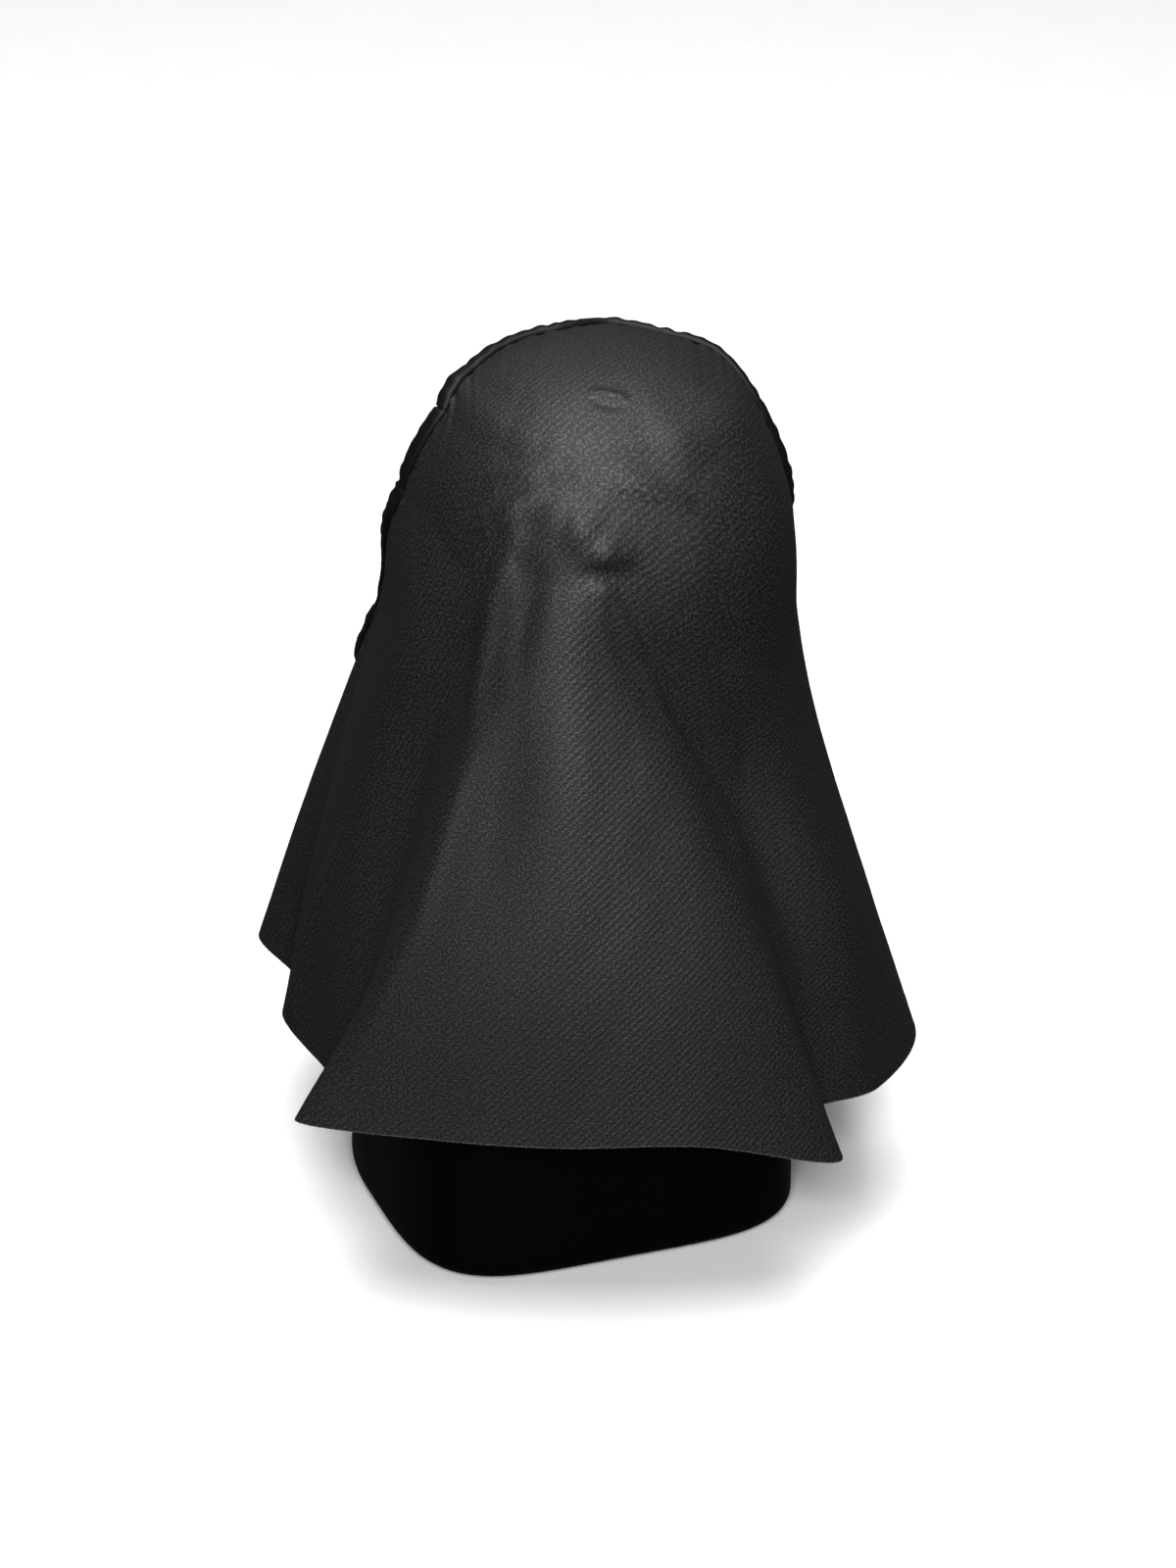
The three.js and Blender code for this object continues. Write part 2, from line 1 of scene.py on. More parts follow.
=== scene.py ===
"""Looks of a hooded black twill cape on its display form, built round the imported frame.

The cape is one twill panel that lies on a domed form and falls to a raw hem. An elastic in a bound
casing gathers it round the face opening at +Y, and a flap with three press studs closes it in front.
Units are metres, +Z is up and the back of the cape is at -Y. The drape's own tables are in millimetres
and meet the frame through MM.
"""

import logging
import math
from dataclasses import dataclass, field
from enum import Enum
from functools import partial
from typing import Callable

import bpy
import numpy as np
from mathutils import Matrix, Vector


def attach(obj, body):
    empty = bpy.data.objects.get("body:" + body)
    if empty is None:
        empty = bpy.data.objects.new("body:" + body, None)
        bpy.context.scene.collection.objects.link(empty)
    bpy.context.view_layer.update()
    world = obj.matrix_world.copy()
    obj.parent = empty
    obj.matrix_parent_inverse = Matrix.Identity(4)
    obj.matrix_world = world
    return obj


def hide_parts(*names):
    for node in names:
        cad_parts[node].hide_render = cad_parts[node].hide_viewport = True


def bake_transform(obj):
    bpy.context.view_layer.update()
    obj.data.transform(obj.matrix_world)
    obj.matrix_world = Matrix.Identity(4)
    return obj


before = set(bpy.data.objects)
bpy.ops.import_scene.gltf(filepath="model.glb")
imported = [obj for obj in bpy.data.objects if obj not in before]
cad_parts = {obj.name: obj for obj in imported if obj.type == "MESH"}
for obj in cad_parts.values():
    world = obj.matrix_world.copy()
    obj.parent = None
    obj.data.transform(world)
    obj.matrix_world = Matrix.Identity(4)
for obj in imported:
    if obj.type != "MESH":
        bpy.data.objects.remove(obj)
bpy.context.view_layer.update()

LOG = logging.getLogger("cape")
MM = 0.001
SEED = 11
RIPPLE_SINES = 5
RIPPLE_SPREAD = 0.35  # how far a sine's pitch may lie from the mean, as a share

Array = np.ndarray
Colour = tuple[float, float, float, float]
AddNode = Callable[..., bpy.types.Node]


class Body(str, Enum):
    """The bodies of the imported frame."""

    DISPLAY = "display"
    CAPE = "cape"
    FLAP = "flap"


class Slot(str, Enum):
    """The record's material slots."""

    TWILL = "cape_twill"
    BINDING = "binding"
    ELASTIC = "elastic"
    PLASTIC = "form_plastic"
    FELT = "pad_felt"
    METAL = "snap_metal"
    LABEL = "label_satin"


# ---- Small helpers --------------------------------------------------------------------------------


def linear(code: str) -> Colour:
    """Turns an sRGB hex colour into linear RGBA.

    Args:
        code: Six hex digits, with or without a leading #.

    Returns:
        Red, green, blue and an alpha of 1, all linear.
    """
    digits = code.lstrip("#")
    shares = [int(digits[i : i + 2], 16) / 255 for i in (0, 2, 4)]
    red, green, blue = (s / 12.92 if s <= 0.04045 else ((s + 0.055) / 1.055) ** 2.4 for s in shares)
    return (red, green, blue, 1.0)


def add_node(
    tree: bpy.types.NodeTree, kind: str, settings: dict | None = None, **sockets
) -> bpy.types.Node:
    """Adds a node with its settings and links.

    Args:
        tree: The tree that takes the node.
        kind: The node's type name.
        settings: Properties to set, by name.
        **sockets: What each input takes: a value, a socket, or a node for its first output. An input goes
            by its name with _ for spaces, or by i0, i1 and so on for its index.

    Returns:
        The new node.
    """
    node = tree.nodes.new(kind)
    for name, value in (settings or {}).items():
        setattr(node, name, value)
    for name, value in sockets.items():
        indexed = name[0] == "i" and name[1:].isdigit()
        socket = node.inputs[int(name[1:])] if indexed else node.inputs[name.replace("_", " ")]
        source = value.outputs[0] if isinstance(value, bpy.types.Node) else value
        if isinstance(source, bpy.types.NodeSocket):
            tree.links.new(source, socket)
        else:
            socket.default_value = source
    return node


def unit(vectors: Array) -> Array:
    """Returns the vectors at length 1."""
    return vectors / np.maximum(np.linalg.norm(vectors, axis=-1, keepdims=True), 1e-12)


def catmull(p0: Array, p1: Array, p2: Array, p3: Array, t: Array) -> Array:
    """Returns the point at share t between p1 and p2 on the smooth curve through all four."""
    square = 2 * p0 - 5 * p1 + 4 * p2 - p3
    cube = 3 * p1 - p0 - 3 * p2 + p3
    return 0.5 * (2 * p1 + t * ((p2 - p0) + t * (square + t * cube)))


def smooth(share: Array) -> Array:
    """Returns a share eased at both ends and held to 0..1."""
    s = np.clip(share, 0.0, 1.0)
    return s * s * (3 - 2 * s)


def ripple(position: Array, pitch: float, rng: np.random.Generator) -> Array:
    """Makes an uneven wave, a sum of sines whose pitches scatter round one value.

    Args:
        position: Where to read the wave, in the unit of pitch.
        pitch: The wave's mean pitch.
        rng: Source of the pitches and phases.

    Returns:
        Values of about -1..1, one for each position.
    """
    total = np.zeros_like(position, dtype=float)
    for _ in range(RIPPLE_SINES):
        wave = 2 * math.pi / (pitch * (1 + RIPPLE_SPREAD * rng.uniform(-1, 1)))
        total += np.sin(wave * position + rng.uniform(0, 2 * math.pi))
    return total / math.sqrt(RIPPLE_SINES)


def mesh_object(
    name: str,
    points: Array,
    faces: Array | list,
    material: bpy.types.Material,
    uv: Array | None = None,
) -> bpy.types.Object:
    """Makes a mesh object at the origin.

    Args:
        name: The piece's name.
        points: Vertex places in metres, one row each.
        faces: Vertex indices of each face.
        material: The piece's finish.
        uv: One (u, v) row for each vertex, in metres, if the finish follows the surface.

    Returns:
        The object, linked to the scene.
    """
    mesh = bpy.data.meshes.new(name)
    mesh.from_pydata(np.asarray(points, float).tolist(), [], [list(map(int, f)) for f in faces])
    mesh.polygons.foreach_set("use_smooth", [True] * len(mesh.polygons))
    if uv is not None:
        layer = mesh.uv_layers.new(name="UVMap")
        corners = np.zeros(len(mesh.loops), np.int32)
        mesh.loops.foreach_get("vertex_index", corners)
        layer.data.foreach_set("uv", np.asarray(uv, np.float32)[corners].ravel())
    mesh.materials.append(material)
    mesh.update()
    made = bpy.data.objects.new(name, mesh)
    bpy.context.scene.collection.objects.link(made)
    return made


def store(mesh: bpy.types.Mesh, name: str, values: Array) -> None:
    """Stores one number or one vector for each vertex as a named attribute.

    Args:
        mesh: The mesh that keeps it.
        name: The attribute's name.
        values: One number, or one row of three, for each vertex.
    """
    flat = np.asarray(values, np.float32)
    if flat.ndim == 1:
        mesh.attributes.new(name, "FLOAT", "POINT").data.foreach_set("value", flat)
    else:
        mesh.attributes.new(name, "FLOAT_VECTOR", "POINT").data.foreach_set("vector", flat.ravel())


def seat(piece: bpy.types.Object, body: Body, slot: Slot, *nodes: str) -> bpy.types.Object:
    """Rides a piece on its body and lets it stand for its CAD nodes.

    Args:
        piece: The finished piece.
        body: The body that carries it.
        slot: Its material slot; not used.
        *nodes: The CAD nodes that it stands for.

    Returns:
        The piece.
    """
    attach(piece, body.value)
    if nodes:
        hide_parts(*nodes)
    LOG.info("%s: %d faces on %s", piece.name, len(piece.data.polygons), body.value)
    return piece


def loft(rings: Array, loop: bool = False) -> tuple[Array, list]:
    """Joins closed rings of points into a tube, whose two ends are closed with a fan.

    Args:
        rings: Points as ring, place in the ring, coordinate.
        loop: Whether the last ring joins the first, so that there are no ends.

    Returns:
        The points and the faces.
    """
    count, size = rings.shape[:2]
    points = rings.reshape(-1, 3)
    here = np.arange(count if loop else count - 1)[:, None] * size
    after = (here + size) % (count * size)
    a = np.arange(size)[None]
    b = (a + 1) % size
    faces = np.stack([here + a, here + b, after + b, after + a], -1).reshape(-1, 4).tolist()
    if not loop:
        points = np.vstack([points, rings[0].mean(0), rings[-1].mean(0)])
        first, last = count * size, count * size + 1
        top = (count - 1) * size
        faces += [[(j + 1) % size, j, first] for j in range(size)]
        faces += [[top + j, top + (j + 1) % size, last] for j in range(size)]
    return points, faces


def sheet_faces(count: int, size: int) -> Array:
    """Joins two layers of points into a thin closed sheet.

    Args:
        count: Rows of points in each layer.
        size: Points in each row.

    Returns:
        The faces, with the outer layer's points numbered first.
    """
    shift = count * size
    index = np.arange(shift).reshape(count, size)
    quads = np.stack([index[:-1, :-1], index[:-1, 1:], index[1:, 1:], index[1:, :-1]], -1).reshape(-1, 4)
    border = np.concatenate([index[:, 0], index[-1, 1:], index[-2::-1, -1], index[0, -2:0:-1]])
    following = np.roll(border, -1)
    wall = np.stack([border, following, following + shift, border + shift], -1)
    return np.concatenate([quads, quads[:, ::-1] + shift, wall])


def faces_out(points: Array, faces: list) -> list:
    """Returns the faces turned so that a closed shape's volume comes out positive.

    Args:
        points: The shape's vertices.
        faces: Its faces, all turned the same way.

    Returns:
        The faces, turned so that the volume they close is positive.
    """
    volume = 0.0
    for f in faces:
        corners = points[f]
        for i in range(1, len(f) - 1):
            volume += float(np.dot(corners[0], np.cross(corners[i], corners[i + 1])))
    return faces if volume > 0 else [list(reversed(f)) for f in faces]


# ---- Finishes -------------------------------------------------------------------------------------


MATH = "ShaderNodeMath"
BUMP = "ShaderNodeBump"
NOISE = "ShaderNodeTexNoise"
WAVE = "ShaderNodeTexWave"
RANGE = "ShaderNodeMapRange"
MULTIPLY = {"operation": "MULTIPLY"}
MULTIPLY_ADD = {"operation": "MULTIPLY_ADD"}
COLOUR_MIX = {"data_type": "RGBA"}


def new_material(name: str) -> tuple[bpy.types.Material, AddNode]:
    """Makes an empty node material.

    Args:
        name: The finish's name.

    Returns:
        The material, and the function that adds a node to it.
    """
    material = bpy.data.materials.new(name)
    material.use_nodes = True
    material.node_tree.nodes.clear()
    return material, partial(add_node, material.node_tree)


def wave_scale(pitch: float) -> float:
    """Returns a Wave Texture's scale for bands of that pitch, in metres along its axis."""
    return 2 * math.pi / (20 * pitch)


@dataclass(frozen=True)
class Twill:
    """Dyed polyester twill: a light, tight cloth whose floats run in fine diagonal ribs.

    The eye sees near-black cloth with a dull silky sheen on its ridges. The grey speckle where the floats
    of single threads catch the light is painted into the colour as painted glints, and the pale line along
    the raw hem is a painted highlight.
    """

    name: str = "twill_polyester"
    shade: str = "#010101"
    # painted glint colour: the grey speckle of thread floats catching the light is painted into the base
    # colour
    float_glint: str = "#323232"
    # painted highlight: the pale colour along the cut hem stands in for light catching the edge
    raw_edge_glint: str = "#626260"
    rib_pitch: float = 1.3 * MM  # woven about 0.6 mm apart, and drawn coarser so that single ribs show
    thread_pitch: float = 0.95 * MM
    edge_width: float = 0.5 * MM
    relief: float = 0.21 * MM
    roughness: float = 0.56
    specular: float = 0.36

    def make(self) -> bpy.types.Material:
        """Builds the material on the piece's UV map, in metres, and its hem_distance attribute."""
        material, add = new_material(self.name)
        uv = add("ShaderNodeUVMap", {"uv_map": "UVMap"})
        bands = {"wave_type": "BANDS", "bands_direction": "DIAGONAL", "wave_profile": "SIN"}
        scale = wave_scale(self.rib_pitch * math.sqrt(2))
        wave = add(WAVE, bands, Vector=uv, Scale=scale, Distortion=1.6, Detail=2.0, Detail_Scale=2.0)
        rib = wave.outputs["Fac"]
        speck = add(NOISE, None, Vector=uv, Scale=1 / self.thread_pitch, Detail=1.0)
        cloud = add(NOISE, None, Vector=uv, Scale=18.0, Detail=3.0)
        fleck = add(RANGE, {"clamp": True}, Value=speck, From_Min=0.47, From_Max=0.58)
        # painted glints: lighter colour on the rib tops and flecks where thread floats would catch the light
        glint = add(MATH, MULTIPLY, i0=add(MATH, MULTIPLY_ADD, i0=rib, i1=0.5, i2=0.5), i1=fleck)
        tone = add(MATH, MULTIPLY_ADD, i0=cloud, i1=0.05, i2=add(MATH, MULTIPLY, i0=glint, i1=0.75))
        shade, light = linear(self.shade), linear(self.float_glint)
        colour = add("ShaderNodeMix", COLOUR_MIX, i0=tone, i6=shade, i7=light).outputs[2]
        edge = add("ShaderNodeAttribute", {"attribute_name": "hem_distance"}).outputs["Fac"]
        near = add(RANGE, {"clamp": True}, Value=edge, From_Max=self.edge_width, To_Min=1.0, To_Max=0.0)
        # painted highlight: the flecked raw edge colour is mixed into the last half millimetre before the hem
        edge_glint = add(MATH, MULTIPLY, i0=near, i1=add(MATH, MULTIPLY_ADD, i0=fleck, i1=0.5, i2=0.4))
        cloth = add("ShaderNodeMix", COLOUR_MIX, i0=edge_glint, i6=colour, i7=linear(self.raw_edge_glint)).outputs[2]
        height = add(MATH, MULTIPLY_ADD, i0=rib, i1=0.4, i2=speck)
        bump = add(BUMP, None, Strength=1.0, Distance=self.relief, Height=height)
        gloss = add(MATH, MULTIPLY_ADD, i0=glint, i1=-0.14, i2=self.roughness + 0.05)
        principled = add(
            "ShaderNodeBsdfPrincipled",
            None,
            Base_Color=cloth,
            Roughness=gloss,
            Normal=bump,
            Specular_IOR_Level=self.specular,
        )
        add("ShaderNodeOutputMaterial", None, i0=principled)
        return material


@dataclass(frozen=True)
class Binding:
    """Plain-woven polyester binding: smoother and a shade darker than the twill, with fine puckers."""

    name: str = "binding_polyester"
    shade: str = "#040404"
    raised: str = "#101010"
    thread_pitch: float = 0.7 * MM
    roughness: float = 0.55

    def make(self) -> bpy.types.Material:
        """Builds the material on the piece's UV map, in metres."""
        material, add = new_material(self.name)
        uv = add("ShaderNodeUVMap", {"uv_map": "UVMap"})
        threads = [
            add(
                WAVE,
                {"wave_type": "BANDS", "bands_direction": axis},
                Vector=uv,
                Scale=wave_scale(self.thread_pitch),
                Distortion=0.6,
            ).outputs["Fac"]
            for axis in ("X", "Y")
        ]
        weave = add(MATH, MULTIPLY, i0=threads[0], i1=threads[1])
        cloud = add(NOISE, None, Vector=uv, Scale=90.0, Detail=2.0)
        tone = add(MATH, MULTIPLY_ADD, i0=weave, i1=0.3, i2=add(MATH, MULTIPLY, i0=cloud, i1=0.25))
        shade, light = linear(self.shade), linear(self.raised)
        principled = add(
            "ShaderNodeBsdfPrincipled",
            None,
            Base_Color=add("ShaderNodeMix", COLOUR_MIX, i0=tone, i6=shade, i7=light).outputs[2],
            Roughness=add(MATH, MULTIPLY_ADD, i0=weave, i1=-0.1, i2=self.roughness),
            Normal=add(BUMP, None, Strength=0.35, Distance=0.08 * MM, Height=weave),
            Specular_IOR_Level=0.22,
        )
        add("ShaderNodeOutputMaterial", None, i0=principled)
        return material


@dataclass(frozen=True)
class Grained:
    """A surface with an even random grain, such as moulded plastic, felt, thread or lacquered metal."""

    name: str
    shade: str
    light: str
    grain: float  # width of one grain, in metres
    roughness: float
    relief: float = 0.0  # height of the grain, in metres
    metallic: float = 0.0
    sheen: float = 0.0
    coat: float = 0.0
    specular: float = 0.5
    stretch: tuple[float, float, float] = (1.0, 1.0, 1.0)

    def make(self) -> bpy.types.Material:
        """Builds the material on the object's coordinates."""
        material, add = new_material(self.name)
        place = add("ShaderNodeTexCoord").outputs["Object"]
        drawn = add("ShaderNodeMapping", None, Vector=place, Scale=self.stretch)
        grain = add(NOISE, None, Vector=drawn, Scale=1 / self.grain, Detail=3.0)
        cloud = add(NOISE, None, Vector=place, Scale=25.0, Detail=2.0)
        tone = add(MATH, MULTIPLY, i0=grain, i1=cloud)
        shade, light = linear(self.shade), linear(self.light)
        principled = add(
            "ShaderNodeBsdfPrincipled",
            None,
            Base_Color=add("ShaderNodeMix", COLOUR_MIX, i0=tone, i6=shade, i7=light).outputs[2],
            Roughness=add(MATH, MULTIPLY_ADD, i0=grain, i1=0.12, i2=self.roughness - 0.06),
            Normal=add(BUMP, None, Strength=0.6, Distance=self.relief, Height=grain),
            Metallic=self.metallic,
            Specular_IOR_Level=self.specular,
            Sheen_Weight=self.sheen,
            Coat_Weight=self.coat,
        )
        add("ShaderNodeOutputMaterial", None, i0=principled)
        return material


# Matt thread of spun polyester: dull, with a soft fuzz.
THREAD = Grained("thread_polyester", "#020202", "#060607", 0.4 * MM, 0.7, 0.05 * MM, specular=0.05)
# Cut yarn ends at the raw hem, coloured pale grey: a painted highlight where the hairs catch the light.
FRAY = Grained("yarn_ends", "#343433", "#6C6C6A", 1.0 * MM, 0.65, specular=0.2)
# Injection-moulded ABS with a fine spark-eroded grain: near black, with a soft satin highlight.
PLASTIC = Grained("moulded_abs", "#020202", "#040304", 0.9 * MM, 0.42, 0.03 * MM, specular=0.11)
# Needled polyester felt: dull and hairy.
FELT = Grained("needled_felt", "#141415", "#38383A", 0.8 * MM, 0.95, 0.3 * MM, sheen=0.4)
# Stamped brass under black baked lacquer: dark, with a hard small highlight.
METAL = Grained("lacquered_brass", "#0B0B0C", "#242426", 1.5 * MM, 0.3, 0.01 * MM, metallic=0.6, coat=0.4)
# Woven rubber-core elastic: crosswise crimp in dull polyester yarn.
ELASTIC = Grained("woven_elastic", "#101011", "#3A3A3C", 0.5 * MM, 0.75, 0.15 * MM, sheen=0.1)
# Woven satin tape: long floats give a soft sheen in one direction.
LABEL = Grained(
    "satin_tape", "#B9B6AF", "#E8E6E0", 0.7 * MM, 0.42, 0.05 * MM, sheen=0.1, stretch=(1, 1, 0.15)
)
# Painted board, pale and matt.
FLOOR = Grained("painted_board", "#F6F6F6", "#FFFFFF", 4.0 * MM, 0.95, specular=0.0)


class Finishes:
    """All finishes of the object, each built once."""

    def __init__(self) -> None:
        """Builds every material."""
        self.twill = Twill().make()
        self.binding = Binding().make()
        self.thread = THREAD.make()
        self.fray = FRAY.make()
        self.plastic = PLASTIC.make()
        self.felt = FELT.make()
        self.metal = METAL.make()
        self.elastic = ELASTIC.make()
        self.label = LABEL.make()
        self.floor = FLOOR.make()


# ---- Shape of the form and the drape, in millimetres ----------------------------------------------


@dataclass(frozen=True)
class FormSize:
    """Half sizes of the form's outline, how square its back is, and how far it stands to +X."""

    side: float | Array
    back: float | Array
    front: float | Array
    back_power: float | Array
    aside: float | Array


def around_axis(angle: Array, radius: Array, z: Array, aside: Array = 0.0) -> Array:
    """Returns points at an angle from the back (-Y) towards +X, round an axis that stands aside to +X."""
    return np.stack(np.broadcast_arrays(aside + radius * np.sin(angle), -radius * np.cos(angle), z), -1)


@dataclass(frozen=True)
class FormShape:
    """The display form: an upright block with a rounded square back, a shallower front and a dome."""

    wall_height: float = 306.0
    dome_height: float = 101.0
    base_round: float = 9.0
    pad_thickness: float = 3.0
    pad_inset: float = 16.0
    fit_gap: float = 0.3
    head: FormSize = FormSize(83, 97, 68, 2.4, 5)
    foot: FormSize = FormSize(93, 93, 98, 4.2, -9)
    front_power: float = 2.2

    def outline(self, angle: Array, size: FormSize) -> Array:
        """Returns the distance from the axis to the side at each angle.

        Args:
            angle: Angles from the back towards +X.
            size: The outline's size.

        Returns:
            The distance from the axis at each angle.
        """
        behind = np.cos(angle) > 0
        across = np.abs(np.sin(angle)) / size.side
        along = np.abs(np.cos(angle)) / np.where(behind, size.back, size.front)
        power = np.where(behind, size.back_power, self.front_power)
        return (across**power + along**power) ** (-1 / power)

    def size_at(self, z: Array) -> FormSize:
        """Returns the outline's size at each height of the wall."""
        share = smooth(np.asarray(z, float) / self.wall_height)
        pairs = zip(vars(self.foot).values(), vars(self.head).values())
        return FormSize(*(low + (high - low) * share for low, high in pairs))

    def dome_point(self, angle: Array, share: Array, grow: float) -> Array:
        """Returns points on the dome at a share of its radius, standing grow off it.

        Args:
            angle: Angles from the back towards +X.
            share: Share of the way from the top to the dome's edge.
            grow: How far the points stand off the dome.

        Returns:
            The points.
        """
        power = self.head.back_power
        rise = (self.dome_height + grow) * (1 - share**power) ** (1 / power)
        radius = (self.outline(angle, self.head) + grow) * share
        return around_axis(angle, radius, self.wall_height + rise, self.head.aside)

    def wall_point(self, angle: Array, z: float, inset: float = 0.0) -> Array:
        """Returns points on the wall at a height, or an inset inside it."""
        size = self.size_at(z)
        return around_axis(angle, self.outline(angle, size) - inset, z, size.aside)

    def push_clear(self, points: Array, gap: float) -> Array:
        """Pushes points out, where it has to, until they stand gap clear of the form.

        Args:
            points: Points in millimetres.
            gap: How far off the form they have to stand.

        Returns:
            The points, with those that lay nearer pushed straight out.
        """
        size = self.size_at(points[..., 2])
        x, y, z = points[..., 0] - size.aside, points[..., 1], points[..., 2]
        angle = np.arctan2(x, -y)
        radius = np.hypot(x, y)
        wall = np.maximum(1, (self.outline(angle, size) + gap) / np.maximum(radius, 1e-6))
        up = np.maximum(z - self.wall_height, 0)
        power = self.head.back_power
        across = radius / (self.outline(angle, self.head) + gap)
        shell = np.maximum((across**power + (up / (self.dome_height + gap)) ** power), 1e-9)
        dome = np.maximum(1, shell ** (-1 / power))
        on_dome = z > self.wall_height
        grow = np.where(on_dome, dome, wall)
        height = np.where(on_dome, self.wall_height + up * grow, z)
        return np.stack([size.aside + x * grow, y * grow, height], -1)


@dataclass(frozen=True)
class Rib:
    """One ridge, valley or smooth run of the cloth, from the dome to the hem.

    turn is its angle on the dome in degrees, from the back towards +X, puff is how far it stands off the
    dome, and points are its (x, y, z) from the dome's edge to the hem.
    """

    turn: float
    puff: float
    points: tuple[tuple[float, float, float], ...]


FRONT_HEM_Y = 141.0
FRONT_HEM_Z = 75.0
FRONT_SLOPE = 22 / 85


def front_y(z: float) -> float:
    """Returns how far forward the leaning front stands at a height."""
    return FRONT_HEM_Y - (z - FRONT_HEM_Z) * FRONT_SLOPE


def front_rib(turn: float, puff: float, x: float, upper: tuple[float, float]) -> Rib:
    """Returns a rib of the plain front, which only narrows towards the chin."""
    heights = (335, 290, 225, 160, FRONT_HEM_Z)
    shares = (*upper, 1, 1, 1)
    return Rib(turn, puff, tuple((x * s, front_y(z), z) for s, z in zip(shares, heights)))


RIBS = (
    front_rib(-166, 0, -28, (0.93, 1)),
    front_rib(-152, 0, -60, (0.83, 0.93)),
    Rib(-128, 0, ((-64, 34, 335), (-72, 44, 292), (-86, 60, 238), (-104, 80, 165), (-121, 93, 98))),
    Rib(-108, 0, ((-69, 40, 334), (-76, 40, 290), (-90, 43, 237), (-107, 48, 162), (-116, 50, 93))),
    Rib(-95, 0, ((-79, 14, 336), (-86, 12, 293), (-100, 13, 238), (-120, 16, 165), (-134, 18, 95))),
    Rib(-70, 0, ((-78, -27, 338), (-91, -29, 294), (-103, -21, 238), (-119, -23, 162), (-130, -29, 93))),
    Rib(-48, 0, ((-60, -65, 341), (-76, -56, 296), (-89, -51, 240), (-111, -53, 160), (-128, -56, 92))),
    Rib(-34, 0, ((-51, -76, 341), (-67, -80, 297), (-91, -83, 240), (-121, -82, 162), (-156, -71, 93))),
    Rib(-28, 0, ((-45, -82, 341), (-57, -91, 299), (-70, -100, 243), (-91, -110, 168), (-107, -113, 97))),
    Rib(-22, 0, ((-34, -85, 341), (-41, -100, 300), (-47, -115, 245), (-54, -130, 170), (-59, -138, 97))),
    Rib(-16, 0, ((-25, -88, 341), (-23, -102, 299), (-17, -120, 243), (-7, -141, 168), (1, -155, 95))),
    Rib(-10, 0, ((-18, -86, 341), (-8, -100, 297), (10, -118, 241), (37, -138, 163), (66, -152, 73))),
    Rib(0, 0, ((-8, -86, 342), (9, -93, 295), (31, -96, 240), (53, -113, 160), (62, -125, 84))),
    Rib(16, 1, ((27, -86, 339), (43, -88, 293), (65, -90, 238), (89, -101, 160), (101, -109, 80))),
    Rib(42, 2, ((65, -61, 340), (78, -56, 292), (92, -55, 237), (113, -63, 160), (136, -70, 80))),
    Rib(70, 3, ((90, -19, 338), (91, -13, 290), (99, -11, 235), (123, -9, 158), (146, -11, 75))),
    Rib(100, 3, ((92, 12, 333), (95, 19, 290), (105, 24, 235), (128, 31, 160), (145, 37, 72))),
    front_rib(140, 2, 60, (0.83, 0.93)),
    front_rib(166, 1, 28, (0.93, 1)),
)
DOME_SHARES = (0, 0.3, 0.55, 0.75)
PUFF_SHARES = (0, 0.35, 0.8, 1)
STATIONS = len(DOME_SHARES) + len(RIBS[0].points) - 1  # the last station is the hem
CHIN_STATION = 6.2
# The face opening's edge, as (turn, station) from the chin over the crown and back to the chin.
RIM_LEFT = ((-160, 6.2), (-140, 6), (-121, 5.5), (-105, 4.8), (-95, 4), (-93, 3.2), (-105, 2.3), (-140, 1.5))
RIM_TOP = (180, 1.3)
RIM_RIGHT = ((146, 1.65), (115, 2.1), (92, 2.8), (80, 3.5), (76, 4.2), (80, 4.9), (98, 5.6), (126, 6.1))
RIM_END = (155, 6.2)


